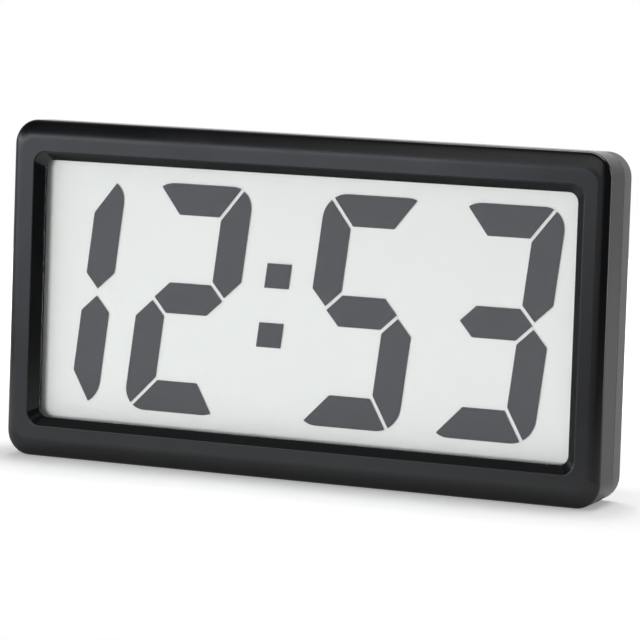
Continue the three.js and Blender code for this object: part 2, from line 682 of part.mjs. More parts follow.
// The chip's epoxy drop, a low dome
function controllerBlob() {
  const dome = quarterRound().map(([turnedIn, run]) => [
    BLOB_RADIUS * (1 - turnedIn),
    SOLDER_SIDE + BLOB_HEIGHT * run,
  ]);
  return turned([0, (BOARD_BOTTOM + BOARD_TOP) / 2], [[0, SOLDER_SIDE], ...dome]);
}

function quartzCrystal() {
  const start = BLOB_RADIUS + 2 * CRYSTAL_RADIUS;
  const at = [SOLDER_SIDE + CRYSTAL_RADIUS, (BOARD_BOTTOM + BOARD_TOP) / 2];
  return bar(at, CRYSTAL_RADIUS, [-start - CRYSTAL_LENGTH, -start], SMALL_SIDES);
}

const SWITCH_TOP = SOLDER_SIDE + SWITCH_HEIGHT + PLUNGER_HEIGHT;

function tactSwitch([x, z]) {
  const half = SWITCH_SIZE / 2;
  const body = block(about(x, half), [SOLDER_SIDE, SOLDER_SIDE + SWITCH_HEIGHT], about(z, half));
  return shaped(joined(body, post([x, z], PLUNGER_RADIUS, [SOLDER_SIDE, SWITCH_TOP], SMALL_SIDES)));
}

// A set button: a domed cap through the panel, a flange that keeps it in, and a stem down to its switch
function setButton(at) {
  const stemEnd = SWITCH_TOP + BUTTON_TOUCH_GAP + BUTTON_TRAVEL;
  const flangeBack = CASE_DEPTH - COVER_WALL - FIT_GAP;
  const flangeFront = flangeBack - BUTTON_FLANGE_THICKNESS;
  const crown = CASE_DEPTH + BUTTON_PROUD;
  const edge = quarterRound().map(([turnedIn, run]) => [
    BUTTON_RADIUS - BUTTON_EDGE * turnedIn,
    crown - BUTTON_EDGE * (1 - run),
  ]);
  return turned(at, [
    [0, stemEnd],
    [BUTTON_STEM_RADIUS, stemEnd],
    [BUTTON_STEM_RADIUS, flangeFront],
    [BUTTON_FLANGE_RADIUS, flangeFront],
    [BUTTON_FLANGE_RADIUS, flangeBack],
    [BUTTON_RADIUS, flangeBack],
    ...edge,
    [0, crown],
  ]);
}

// The cell stands on the origin with its nub up, and is laid along the well by its mesh
function batteryCell() {
  const shoulder = CELL_LENGTH - CELL_NUB_LENGTH;
  return turned(
    [0, 0],
    [
      [0, 0],
      [CELL_RADIUS - CELL_EDGE, 0],
      [CELL_RADIUS, CELL_EDGE],
      [CELL_RADIUS, shoulder - CELL_EDGE],
      [CELL_RADIUS - CELL_EDGE, shoulder],
      [CELL_NUB_RADIUS, shoulder],
      [CELL_NUB_RADIUS, CELL_LENGTH],
      [0, CELL_LENGTH],
    ],
  );
}

// A coned spring between the negative plate and the cell, as one helix about the cell's axis
function batterySpring() {
  const start = -CONTACT_INNER + FIT_GAP + SPRING_WIRE_RADIUS;
  const end = CELL_TAIL - FIT_GAP - SPRING_WIRE_RADIUS;
  const helix = new THREE.Curve();
  helix.getPoint = (t, target = new THREE.Vector3()) => {
    const angle = t * SPRING_TURNS * 2 * Math.PI;
    const radius = lerp(SPRING_BIG_RADIUS, SPRING_SMALL_RADIUS, t);
    const along = lerp(start, end, t);
    return target.set(along, CELL_Y + radius * Math.cos(angle), CELL_Z + radius * Math.sin(angle));
  };
  const steps = SPRING_TURNS * SPRING_STEPS;
  console.log("battery spring, least gap between turns:", leastGap(helix, steps).toFixed(2), "mm");
  return tube(helix, SPRING_WIRE_RADIUS, SPRING_SIDES, steps);
}

// Least free distance between points of the helix that are more than half a turn apart
function leastGap(helix, steps) {
  const points = helix.getPoints(steps);
  const apart = SPRING_STEPS / 2;
  const gaps = points.flatMap((p, i) => points.slice(i + apart).map((q) => p.distanceTo(q)));
  return Math.min(...gaps) - 2 * SPRING_WIRE_RADIUS;
}

function tube(path, radius, sides, steps) {
  const rim = Array.from({ length: sides }, (_, i) => {
    const angle = (i / sides) * 2 * Math.PI;
    return [radius * Math.cos(angle), radius * Math.sin(angle)];
  });
  return new THREE.ExtrudeGeometry(polygon(rim), { steps, extrudePath: path, bevelEnabled: false });
}

const TAB_END = WELL_BOTTOM - WELL_WALL - CONTACT_TAB_DROP;

// A contact plate at one end of the well, with a tab down through the well's floor
function contactPlate(side) {
  const half = CONTACT_WIDTH / 2;
  const tab = CONTACT_TAB_WIDTH / 2;
  const high = CELL_Z + CONTACT_HEIGHT / 2;
  const low = CELL_Z - CONTACT_HEIGHT / 2;
  const outline = polygon([
    [CELL_Y - half, high],
    [CELL_Y - half, low],
    [CELL_Y - tab, low],
    [CELL_Y - tab, TAB_END],
    [CELL_Y + tab, TAB_END],
    [CELL_Y + tab, low],
    [CELL_Y + half, low],
    [CELL_Y + half, high],
  ]);
  return section(outline, onSide(side, CONTACT_INNER, CONTACT_INNER + CONTACT_THICKNESS));
}

// A lead from a contact tab down to the back of the board
function batteryLead(side) {
  const tabX = side * (CONTACT_INNER + CONTACT_THICKNESS / 2);
  const padX = tabX - side * CONTACT_TAB_WIDTH;
  const padZ = BOARD_TOP - CONTACT_TAB_WIDTH;
  const start = TAB_END - FIT_GAP;
  const route = [
    [tabX, CELL_Y, start],
    [tabX, CELL_Y, start - 2 * LEAD_RADIUS],
    [(tabX + padX) / 2, CELL_Y, (start + padZ) / 2],
    [padX, (CELL_Y + SOLDER_SIDE) / 2, padZ],
    [padX, SOLDER_SIDE, padZ],
  ].map((p) => new THREE.Vector3(...p));
  return tube(new THREE.CatmullRomCurve3(route), LEAD_RADIUS, WIRE_SIDES, 4 * route.length);
}

// The door fills its notch in the panel and runs on a tongue at each side, with grip ribs near its upper end.
// A sill across its upper end closes the slot that the tongues slide out through.
function batteryDoor() {
  const bottom = WELL_BOTTOM;
  const top = panelTop(CASE_DEPTH);
  const profile = polygon([
    [DOOR_INNER, bottom],
    [CASE_DEPTH, bottom],
    [CASE_DEPTH, top - PANEL_EDGE],
    [CASE_DEPTH - PANEL_EDGE, top],
    [DOOR_INNER, panelTop(DOOR_INNER)],
  ]);
  const tongueBack = GROOVE_BACK - FIT_GAP;
  const tongueFront = tongueBack - DOOR_TONGUE_THICKNESS;
  const tongue = [tongueFront, tongueBack];
  const heights = [bottom + DOOR_WEB, WELL_TOP];
  const middle = CASE_DEPTH - DOOR_THICKNESS / 2;
  const sill = polygon([
    [tongueFront, WELL_TOP],
    [middle, WELL_TOP],
    [middle, panelTop(middle)],
    [tongueFront, panelTop(tongueFront)],
  ]);
  const runners = SIDES.flatMap((side) => {
    const web = onSide(side, DOOR_HALF - DOOR_WEB, DOOR_HALF);
    const run = onSide(side, DOOR_HALF - DOOR_WEB, DOOR_HALF + DOOR_TONGUE);
    return [block(web, [tongueFront, middle], heights), block(run, tongue, heights)];
  });
  const grips = Array.from({ length: GRIP_COUNT }, (_, i) => {
    const low = top - PANEL_EDGE - (i + 1) * GRIP_PITCH;
    return block(about(0, GRIP_LENGTH / 2), [middle, CASE_DEPTH + GRIP_HEIGHT], [low, low + GRIP_PITCH / 2]);
  });
  const across = about(0, DOOR_HALF);
  return shaped(joined(section(profile, across), section(sill, across), ...runners, ...grips));
}

// The foot about its hinge axis: a barrel, and a plate whose underside lies on the ground
function standFoot() {
  const half = FOOT_WIDTH / 2;
  const ground = -HINGE_HEIGHT;
  const bend = FOOT_LENGTH - FOOT_CORNER_RADIUS;
  const outline = new THREE.Shape();
  outline.moveTo(-half, -FOOT_HEEL).lineTo(half, -FOOT_HEEL).lineTo(half, bend);
  outline.absarc(half - FOOT_CORNER_RADIUS, bend, FOOT_CORNER_RADIUS, 0, Math.PI / 2);
  outline.absarc(FOOT_CORNER_RADIUS - half, bend, FOOT_CORNER_RADIUS, Math.PI / 2, Math.PI);
  const settings = { depth: FOOT_THICKNESS, bevelEnabled: false, curveSegments: ARC_STEPS };
  const sole = new THREE.ExtrudeGeometry(outline, settings).translate(0, 0, ground);
  const notch = new THREE.CylinderGeometry(FOOT_NOTCH_RADIUS, FOOT_NOTCH_RADIUS, 2 * CUT_PAST, ROUND_SIDES);
  notch.rotateX(Math.PI / 2).translate(0, FOOT_LENGTH + FOOT_NOTCH_RADIUS - FOOT_NOTCH_DEPTH, ground);
  const floor = ground + FOOT_THICKNESS - FOOT_POCKET_DEPTH;
  const far = FOOT_LENGTH - FOOT_NOTCH_DEPTH - FOOT_POCKET_BORDER;
  const near = BARREL_RADIUS + FOOT_HEEL;
  const pocket = block(about(0, half - FOOT_POCKET_BORDER), [near, far], [floor, floor + CUT_PAST]);
  const bore = bar([0, 0], PIN_RADIUS + FIT_GAP, about(0, half + CUT_PAST), SMALL_SIDES);
  return shaped(joined(sole, bar([0, 0], BARREL_RADIUS, about(0, half))), [notch, pocket, bore]);
}

function hingePin() {
  const half = RECESS_HALF + LUG_WIDTH - FIT_GAP;
  return bar([HINGE_Y, HINGE_Z], PIN_RADIUS, about(0, half), SMALL_SIDES);
}

function magnet(at) {
  return post(at, MAGNET_RADIUS, [MAGNET_FRONT, MAGNET_FRONT + MAGNET_THICKNESS]);
}

// A pan-head screw driven from the back, its head seated a fitting gap above the seat
function screw(at, seat, { headRadius, head, radius, length }) {
  const underHead = seat + FIT_GAP;
  return turned(
    at,
    [
      [0, underHead - length],
      [radius, underHead - length],
      [radius, underHead],
      [headRadius, underHead],
      [headRadius, underHead + head / 2],
      [headRadius - head / 2, underHead + head],
      [0, underHead + head],
    ],
    SMALL_SIDES,
  );
}

const CASE_SCREW = {
  headRadius: CASE_SCREW_HEAD_RADIUS,
  head: CASE_SCREW_HEAD,
  radius: CASE_SCREW_RADIUS,
  length: CASE_SCREW_LENGTH,
};
const HOLDER_SCREW = {
  headRadius: HOLDER_SCREW_HEAD_RADIUS,
  head: HOLDER_SCREW_HEAD,
  radius: HOLDER_SCREW_RADIUS,
  length: HOLDER_SCREW_LENGTH,
};

// The assembly
const leaning = new THREE.Group();
leaning.rotation.x = -LEAN;

function add(name, geometry, material) {
  const mesh = new THREE.Mesh(geometry, material);
  mesh.name = name;
  leaning.add(mesh);
  return mesh;
}

function addEach(name, places, make, material) {
  places.forEach((at, i) => add(`${name}_${i + 1}`, make(at), material));
}

add("front_bezel", frontBezel(), BLACK_ABS);
add("rear_cover", rearCover(), BLACK_ABS);
add("lcd_front_polariser", displaySheet(POLARISER_FRONT, POLARISER_THICKNESS, CONTACT_LEDGE / 4), FILM);
add("lcd_front_glass", displaySheet(FRONT_GLASS_FRONT, GLASS_THICKNESS), GLASS);
add("lcd_rear_glass", displaySheet(REAR_GLASS_FRONT, GLASS_THICKNESS, CONTACT_LEDGE), GLASS);
add("lcd_reflector", displaySheet(REFLECTOR_FRONT, REFLECTOR_THICKNESS, CONTACT_LEDGE), REFLECTOR);
add("lcd_holder", lcdHolder(), WHITE_STYRENE);
add("zebra_strip", zebraStrip(), ELASTOMER);
add("circuit_board", circuitBoard(), BOARD_GREEN);
add("controller_blob", controllerBlob(), EPOXY);
add("quartz_crystal", quartzCrystal(), BRIGHT_STEEL);
addEach("tact_switch", BUTTONS, tactSwitch, DARK_STEEL);
addEach("set_button", BUTTONS, setButton, BLACK_BUTTON);
const cell = add("battery_cell", batteryCell(), CELL_WRAP);
cell.position.set(CELL_TAIL, CELL_Y, CELL_Z);
cell.rotation.z = -Math.PI / 2;
add("battery_spring", batterySpring(), BRIGHT_STEEL);
add("contact_plate_positive", contactPlate(1), NICKEL);
add("contact_plate_negative", contactPlate(-1), NICKEL);
add("battery_lead_positive", batteryLead(1), RED_WIRE);
add("battery_lead_negative", batteryLead(-1), BLACK_WIRE);
add("battery_door", batteryDoor(), BLACK_ABS);
const foot = add("stand_foot", standFoot(), BLACK_ABS);
foot.position.set(0, HINGE_Y, HINGE_Z);
foot.rotation.x = LEAN;
add("stand_hinge_pin", hingePin(), BRIGHT_STEEL);
addEach("magnet", MAGNETS, magnet, NICKEL);
addEach("case_screw", CASE_SCREWS, (at) => screw(at, CASE_SEAT, CASE_SCREW), DARK_STEEL);
addEach("holder_screw", HOLDER_SCREWS, (at) => screw(at, HOLDER_BACK, HOLDER_SCREW), DARK_STEEL);

// Stand the clock on the ground, with the middle of its plan at the origin
const clock = new THREE.Group();
clock.add(leaning);
const extent = new THREE.Box3().setFromObject(clock, true);
const middle = extent.getCenter(new THREE.Vector3());
leaning.position.set(-middle.x, -middle.y, -extent.min.z);

export default clock;
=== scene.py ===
"""Looks of a magnetic digital clock: fine meshes, finishes and a plain stage, built on its packed frame.

Lengths are in metres. The case's pieces are drawn in its own leaning frame, where X is right, Y runs back
from the face and Z runs up the face.
"""

import json
import math

import bmesh
import bpy
import numpy as np
from bpy.props import FloatProperty, FloatVectorProperty, IntProperty, PointerProperty
from mathutils import Matrix, Vector


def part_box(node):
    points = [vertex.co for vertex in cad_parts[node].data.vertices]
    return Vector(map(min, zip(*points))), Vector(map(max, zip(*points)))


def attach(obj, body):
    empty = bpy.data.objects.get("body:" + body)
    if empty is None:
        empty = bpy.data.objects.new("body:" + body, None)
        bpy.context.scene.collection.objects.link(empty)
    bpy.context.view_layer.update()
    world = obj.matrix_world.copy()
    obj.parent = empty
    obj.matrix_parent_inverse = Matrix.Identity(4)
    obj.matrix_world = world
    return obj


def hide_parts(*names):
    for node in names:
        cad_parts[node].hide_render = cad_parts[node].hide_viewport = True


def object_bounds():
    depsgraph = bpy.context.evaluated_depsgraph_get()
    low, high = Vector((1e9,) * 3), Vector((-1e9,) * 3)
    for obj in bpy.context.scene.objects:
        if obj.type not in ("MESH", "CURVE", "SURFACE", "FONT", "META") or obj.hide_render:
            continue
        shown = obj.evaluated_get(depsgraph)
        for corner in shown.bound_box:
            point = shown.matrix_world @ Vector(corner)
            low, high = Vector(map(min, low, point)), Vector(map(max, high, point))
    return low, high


bl_info = {
    "name": "Magnetic digital clock",
    "version": (1, 0, 0),
    "blender": (4, 5, 0),
    "location": "View3D > Sidebar > Clock",
    "description": "Builds the visible pieces, finishes and stage of a magnetic digital clock",
    "category": "Object",
}

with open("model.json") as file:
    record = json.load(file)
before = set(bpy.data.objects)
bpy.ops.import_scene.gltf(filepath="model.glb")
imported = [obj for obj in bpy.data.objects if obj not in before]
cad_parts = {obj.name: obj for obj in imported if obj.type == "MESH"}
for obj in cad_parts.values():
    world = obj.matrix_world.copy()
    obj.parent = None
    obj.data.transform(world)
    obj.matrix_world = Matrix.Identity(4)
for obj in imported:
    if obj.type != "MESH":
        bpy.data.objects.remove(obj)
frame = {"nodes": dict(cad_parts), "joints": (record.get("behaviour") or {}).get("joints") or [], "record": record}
CAD_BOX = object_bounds()

MM = 0.001
IMAGE_PIXELS = 640
SENSOR_WIDTH = 36.0
# How far the camera sees, in metres
CAMERA_REACH = 50
# The floor lies this far below the clock's lowest point
FLOOR_GAP = 0.05 * MM

# Gap between the moulded pieces, draft of their sides, and the tilt at which the face's edge starts
FIT_GAP = 0.3 * MM
SIDE_DRAFT = math.radians(1)
EDGE_START = math.radians(30)

# Fineness of the meshes
CORNER_STEPS = 16
EDGE_STEPS = 6
EDGE_ARC_STEPS = 12
CROWN_STEPS = 18
BEVEL_STEPS = 3
ROUND_SIDES = 72
SMALL_SIDES = 40
WIRE_SIDES = 12
TURN_STEPS = 40
# Edges sharper than these are shaded hard, or rounded
SHARP_ANGLE = math.radians(32)
SOFT_ANGLE = math.radians(40)
# How far cutters reach past a surface
CUT_PAST = 8 * MM
SHORT_PAST = 2 * MM
# Points closer than this, in metres, are one
WELD = 1e-7
# Radius of the flat left at the middle of a turned end
BAR_CORE = 0.5 * MM
SCREW_CORE = 0.2 * MM
GRIP_CORE = 0.05 * MM
# Radians that a wave texture runs through in one unit of its scale
WAVE_RADIANS = 20


def linear(code):
    """An sRGB hex colour as linear RGBA."""
    channels = [(code >> shift & 255) / 255 for shift in (16, 8, 0)]
    return (*(c / 12.92 if c <= 0.04045 else ((c + 0.055) / 1.055) ** 2.4 for c in channels), 1.0)


def length(name, description, millimetres):
    """A length property, given in millimetres."""
    settings = {"unit": "LENGTH", "precision": 5, "min": 0.0}
    return FloatProperty(name=name, description=description, default=millimetres * MM, **settings)


def angle(name, description, degrees):
    """An angle property, given in degrees."""
    return FloatProperty(name=name, description=description, default=math.radians(degrees), subtype="ANGLE")


def colour(name, description, code):
    """A colour property, given as an sRGB hex value."""
    settings = {"subtype": "COLOR", "size": 4, "min": 0.0, "max": 1.0}
    return FloatVectorProperty(name=name, description=description, default=linear(code), **settings)


def amount(name, description, value):
    """A plain number property."""
    return FloatProperty(name=name, description=description, default=value, min=0.0)


def case_frame():
    """The leaning case's own frame, from a magnet's axis and the bezel's foremost and lowest points."""
    face = next(mount for mount in frame["record"]["mounts"] if mount["name"] == "magnet_face_1")
    right = Vector((1, 0, 0))
    back = Vector(face["axis"]).normalized()
    up = right.cross(back)
    points = [vertex.co for vertex in frame["nodes"]["front_bezel"].data.vertices]
    origin = back * min(p.dot(back) for p in points) + up * min(p.dot(up) for p in points)
    return Matrix.Translation(origin) @ Matrix((right, back, up)).transposed().to_4x4()


CASE = case_frame()
LEAN = math.atan2(CASE[1][2], CASE[2][2])


def span(node):
    """Lowest and highest corners of a CAD node, in the case's own frame."""
    to_case = CASE.inverted()
    points = [to_case @ vertex.co for vertex in frame["nodes"][node].data.vertices]
    return Vector([min(c) for c in zip(*points)]), Vector([max(c) for c in zip(*points)])


def centre(node):
    """Middle of a CAD node's box as [x, z] on the face."""
    low, high = span(node)
    return (low.x + high.x) / 2, (low.z + high.z) / 2


def radius_of(node):
    """Radius of a round CAD node."""
    low, high = span(node)
    return (high.x - low.x) / 2


def named(stem, count):
    """Names of a CAD node's copies."""
    return [f"{stem}_{i + 1}" for i in range(count)]


WIDTH = span("front_bezel")[1].x * 2
HEIGHT = span("front_bezel")[1].z
DEPTH = span("rear_cover")[1].y
HINGE = Vector(next(joint for joint in frame["joints"] if joint["name"] == "foot_fold")["pos_m"])
CASE_HINGE = CASE.inverted() @ HINGE
MAGNETS = named("magnet", 4)
CASE_SCREWS = named("case_screw", 4)
HOLDER_SCREWS = named("holder_screw", 4)
BUTTONS = named("set_button", 3)
SWITCHES = named("tact_switch", 3)
SIDES = (-1, 1)


class ClockBezel(bpy.types.PropertyGroup):
    """Sizes and colour of the front bezel"""

    corner_radius: length("Corner radius", "Outer corners of the case", 5.6)
    depth: length("Depth", "From the face back to the parting line", 8)
    wall: length("Wall", "Thickness of the sides", 2)
    edge_radius: length("Edge radius", "Where the face turns into the sides", 1)
    crown_side: length("Crown at the sides", "Width of the crowned band at the sides", 2.75)
    crown_top: length("Crown above", "Width of the crowned band above and below", 4.25)
    crown_drop: length("Crown drop", "How far the crown falls behind the flat of the face", 0.8)
    face_side: length("Face at the sides", "Inner edge of the flat, from the sides", 5.55)
    face_top: length("Face above", "Inner edge of the flat, from the top and bottom", 7)
    face_corner: length("Face corner", "Corner radius of the flat's edges", 3)
    face_edge: length("Face edge", "Rounding between the flat and the window's chamfer", 0.5)
    window_side: length("Window at the sides", "Edge of the window, from the sides", 7.7)
    window_top: length("Window above", "Edge of the window, from the top and bottom", 8.8)
    window_corner: length("Window corner", "Corner radius of the window", 2.2)
    window_edge: length("Window edge", "Rounding at the bottom of the chamfer", 0.2)
    chamfer_depth: length("Chamfer depth", "Depth of the window's chamfer", 1.7)
    front_wall: length("Front wall", "Thickness of the front", 2.2)
    parting_edge: length("Parting edge", "Rounding along the parting line", 0.2)
    post_root: length("Post root", "How far the posts and ribs are sunk into the front wall", 0.8)
    post_drop: length("Post drop", "How far in front of the cover's rim the case posts end", 3.5)
    case_post: length("Case post", "Radius of the posts for the case screws", 2.1)
    case_pilot: length("Case pilot", "Radius of the holes in those posts", 1.3)
    holder_post: length("Holder post", "Radius of the posts for the holder's screws", 1.7)
    holder_pilot: length("Holder pilot", "Radius of the holes in those posts", 1.1)
    rib_thickness: length("Rib thickness", "Thickness of the ribs that locate the glass", 1)
    rib_length: length("Rib length", "Length of those ribs", 8)
    plastic: colour("Plastic", "Colour of the bezel's plastic", 0x0A0B0D)


class ClockCover(bpy.types.PropertyGroup):
    """Sizes and colour of the rear cover, the battery door and the foot"""

    step: length("Step", "How far the cover's sides stand inside the bezel's", 0.15)
    wall: length("Wall", "Thickness of the cover", 1.8)
    rim_depth: length("Rim depth", "Depth of the flat rim round the raised panel", 13)
    rear_radius: length("Rear radius", "Rounding from the sides to the rim", 1)
    tongue_depth: length("Tongue depth", "How far the tongue reaches into the bezel", 1.8)
    tongue_wall: length("Tongue wall", "Thickness of the tongue", 1)
    panel_side: length("Panel at the sides", "Foot of the raised panel, from the sides", 12)
    panel_top: length("Panel above", "Foot of the raised panel, from the top", 9)
    panel_bottom: length("Panel below", "Foot of the raised panel, from the bottom", 10)
    panel_corner: length("Panel corner", "Corner radius of the raised panel", 7)
    panel_slope: length("Panel slope", "How far the panel's sides lean in over their height", 3.46)
    panel_fillet: length("Panel fillet", "Rounding at the foot of the panel", 1.2)
    panel_edge: length("Panel edge", "Rounding along the panel's upper edge", 0.9)
    mouth: length("Mouth", "Chamfer round the holes and recesses of the back", 0.3)
    seat_wall: length("Seat wall", "Wall round the screw seats", 0.7)
    seat_depth: length("Seat depth", "How far the screw seats reach in from the rim", 3.2)
    seat_floor: length("Seat floor", "Thickness of the floor under a screw's head", 1.2)
    sink_radius: length("Sink radius", "Radius of the sinking for a screw's head", 2.1)
    sink_depth: length("Sink depth", "Depth of that sinking", 2)
    shank_hole: length("Shank hole", "Radius of the hole for a screw's shank", 1.3)
    post_room: length("Post room", "Radius of the room for the bezel's case posts", 2.4)
    magnet_floor: length("Magnet floor", "Thickness of the floor under a magnet", 1.5)
    button_hole: length("Button hole", "Radius of the holes for the set buttons", 2.8)
    well_wall: length("Well wall", "Thickness of the battery well's sides", 1.5)
    well_floor: length("Well floor", "Thickness of the battery well's floor", 1.2)
    well_room: length("Well room", "Room above and below the cell", 0.55)
    slit_width: length("Slit width", "Width of the slits for the battery's leads", 3.6)
    slit_depth: length("Slit depth", "Depth of those slits", 1)
    door_thickness: length("Door thickness", "Thickness of the battery door", 1.5)
    door_tongue: length("Door tongue", "Width of the tongues the door slides on", 1.6)
    door_tongue_depth: length("Door tongue depth", "Thickness of those tongues", 0.8)
    door_web: length("Door web", "Thickness of the webs that carry those tongues", 1.5)
    door_edge: length("Door edge", "Rounding along the door's ends", 0.25)
    notch_corner: length("Notch corner", "Corner radius of the door's opening", 0.3)
    grip_pitch: length("Grip pitch", "Distance between the door's grip ribs", 1.7)
    grip_drop: length("Grip drop", "From the door's upper edge to the first rib", 1.275)
    grip_radius: length("Grip radius", "Radius of a grip rib", 0.55)
    grip_edge: length("Grip edge", "Rounding at the ends of a grip rib", 0.495)
    grip_length: length("Grip length", "Length of the grip ribs", 14)
    grip_count: IntProperty(name="Grips", description="Number of grip ribs on the door", default=5, min=0)
    lug_width: length("Lug width", "Width of a hinge lug", 4)
    lug_radius: length("Lug radius", "Radius of a hinge lug", 2.6)
    lug_edge: length("Lug edge", "Rounding at the ends of the hinge's lugs and barrel", 0.4)
    pin_bore: length("Pin bore", "Radius of the bore for the hinge pin", 1.2)
    foot_thickness: length("Foot thickness", "Thickness of the fold-out foot", 2.2)
    foot_edge: length("Foot edge", "Rounding round the foot", 0.4)
    foot_corner: length("Foot corner", "Corner radius at the foot's far end", 6)
    foot_notch: length("Foot notch", "Radius of the fingernail notch", 8)
    foot_notch_depth: length("Notch depth", "How far the notch reaches in", 3)
    foot_border: length("Foot border", "Rim round the foot's pocket", 4)
    foot_root: length("Foot root", "How far the foot's plate reaches past the hinge's axis", 1.5)
    foot_room: length("Foot room", "Room round the folded foot", 0.4)
    recess_corner: length("Recess corner", "Corner radius of the recess for the foot", 1)
    foot_pocket: length("Foot pocket", "Depth of the foot's pocket", 0.9)
    pocket_corner: length("Pocket corner", "Corner radius of that pocket", 2)
    pocket_start: length("Pocket start", "From the hinge barrel to that pocket", 1.5)
    barrel_radius: length("Barrel radius", "Radius of the foot's hinge barrel", 2.2)
    plastic: colour("Plastic", "Colour of the cover's plastic", 0x404245)


class ClockDisplay(bpy.types.PropertyGroup):
    """The time shown, and the sizes and colours of the display"""

    hour: IntProperty(name="Hour", description="Hour on the display", default=12, min=0, max=23)
    minute: IntProperty(name="Minute", description="Minute on the display", default=53, min=0, max=59)
    digit_width: length("Digit width", "Width of an upright digit", 25.15)
    digit_height: length("Digit height", "Height of a digit", 50.6)
    digit_corner: length("Digit corner", "Rounding of a digit's outer corners", 5.3)
    digit_pitch: length("Digit pitch", "Distance between the digits of a pair", 32)
    pair_pitch: length("Pair pitch", "Distance between the hours and the minutes", 74.75)
    shift_left: length("Shift left", "How far the colon stands left of the middle", 7.75)
    drop: length("Drop", "How far the digits stand below the middle", 0.17)
    upright: length("Upright stroke", "Width of the upright segments", 7.1)
    level: length("Level stroke", "Height of the upper and lower segments", 6.9)
    bar: length("Middle bar", "Height of the middle segment", 6.8)
    bar_reach: length("Bar reach", "From the digit's middle to the middle segment's tip", 8.5)
    tip_reach: length("Tip reach", "From the digit's middle out to the upright segments' tips", 8.1)
    gap: length("Gap", "Gap between the segments", 0.82)
    slant: angle("Slant", "Lean of the digits to the right", 6.85)
    thickness: length("Segment thickness", "Thickness of a dark segment", 0.03)
    behind: length("Segment gap", "From a segment back to the reflector", 0.2)
    dot_width: length("Dot width", "Width of the colon's dots", 6)
    dot_height: length("Dot height", "Height of the colon's dots", 5.4)
    dot_rise: length("Dot rise", "Height of a dot from the digits' middle", 6.5)
    segment: colour("Segment", "Colour of a dark segment", 0x3E3B42)
    reflector: colour("Reflector", "Colour of the film behind the glass", 0xE9EBE8)


class ClockFittings(bpy.types.PropertyGroup):
    """Sizes of the buttons, magnets, screws and battery"""

    button_radius: length("Button radius", "Radius of a set button's cap", 2.5)
    button_edge: length("Button edge", "Rounding round a button's cap", 0.5)
    button_rim: length("Button rim", "From a cap's side to the edge of its hollow", 0.8)
    button_dish: length("Button dish", "Depth of the hollow for the fingertip", 0.2)
    button_stem: length("Button stem", "Radius of a button's stem", 1.6)
    button_flange: length("Button flange", "Thickness of the flange that keeps a button in", 1)
    magnet_edge: length("Magnet edge", "Rounding of a magnet's rim", 0.35)
    screw_head: length("Screw head", "Height of a case screw's head", 1.2)
    screw_edge: length("Screw edge", "Rounding of a screw head's upper edge", 0.55)
    screw_under: length("Screw under-edge", "Rounding of a screw head's lower edge", 0.15)
    screw_radius: length("Screw radius", "Radius of a case screw's shank", 1)
    screw_tip: length("Screw tip", "Radius of a case screw's tip", 0.4)
    cross_length: length("Cross length", "Length of the cross recess in a screw head", 2.1)
    cross_width: length("Cross width", "Width of the cross recess's slots", 0.5)
    cross_depth: length("Cross depth", "Depth of the cross recess", 0.7)
    cell_edge: length("Cell edge", "Rounding at the cell's ends", 0.7)
    sleeve_lap: length("Sleeve lap", "How far the sleeve turns in over the cell's ends", 0.56)
    nub_radius: length("Nub radius", "Radius of the cell's positive nub", 1.9)
    nub_length: length("Nub length", "Length of the cell's positive nub", 1)
    nub_edge: length("Nub edge", "Rounding of the cell's positive nub", 0.3)
    spring_wire: length("Spring wire", "Radius of the battery spring's wire", 0.3)
    spring_wide: length("Spring wide end", "Radius of the spring's first turn", 3.6)
    spring_narrow: length("Spring narrow end", "Radius of the spring's last turn", 2.1)
    spring_turns: IntProperty(name="Spring turns", description="Turns of the spring", default=3, min=1)


class ClockStage(bpy.types.PropertyGroup):
    """Camera, floor and light"""

    azimuth: angle("Azimuth", "Camera's direction round the clock, from the front to the right", 28)
    elevation: angle("Elevation", "Camera's height above the level", 8.58)
    distance: length("Distance", "From the camera to the middle of the face", 942.5)
    focal_pixels: amount("Focal length", "Camera's focal length in pixels of the image", 4371.5)
    aim_right: length("Aim right", "How far right of the face's middle the camera aims", 5.24)
    aim_down: length("Aim down", "How far below the face's middle the camera aims", 2.42)
    floor_size: length("Floor size", "Side of the floor", 500)
    floor_back: length("Floor back", "How far behind the clock the floor's middle lies", 80)
    floor: colour("Floor", "Colour of the paper the clock stands on", 0xEDEDED)
    # The floor's glow is lower against the clock than a little way off: painted shade round the clock's foot, on
    # top of its real shadow.
    glow_in_painted_shade: amount("Floor glow", "Light that the floor adds to the camera's view against the clock", 0.28)
    floor_open: amount("Floor open", "Light that the floor adds to the camera's view a little way off", 0.41)
    painted_shade_near: length("Contact near", "Distance from the clock where that light starts to rise", 3)
    painted_shade_far: length("Contact far", "Distance from the clock where it has risen", 11)
    floor_mirrored: amount("Floor mirrored", "Light that the floor adds in reflections", 0.1)
    floor_near: length("Floor near", "Distance from the clock where that light starts to rise to white", 60)
    floor_far: length("Floor far", "Distance from the clock where the floor is white by itself", 130)
    sky_fill: amount("Sky fill", "Strength of the even light from all round", 0.25)
    sky_front: amount("Sky front", "How bright the room in front of the clock is in reflections", 0.02)
    sky_turn: amount("Sky turn", "Cosine of the angle from the back at which the room turns pale", 0.15)
    key: amount("Key", "Power of the softbox at the front left, in watts", 1.14)
    band: amount("Band", "Power of the brighter band along the upper part of that softbox, in watts", 0.28)
    fill: amount("Fill", "Power of the fill in front, in watts", 14)
    top: amount("Top", "Power of the softbox above and behind, in watts", 4.5)
    upper: amount("Upper", "Power of the reflected card above the front, in watts", 1.0)
    over: amount("Over", "Power of the reflected card overhead, in watts", 0.1)
    front: amount("Front", "Power of the reflected card in front, in watts", 0.22)
    side: amount("Side", "Power of the reflected card at the right, in watts", 4.5)
    light: colour("Key colour", "Colour of the key's light, a cool white", 0xEFF4FF)


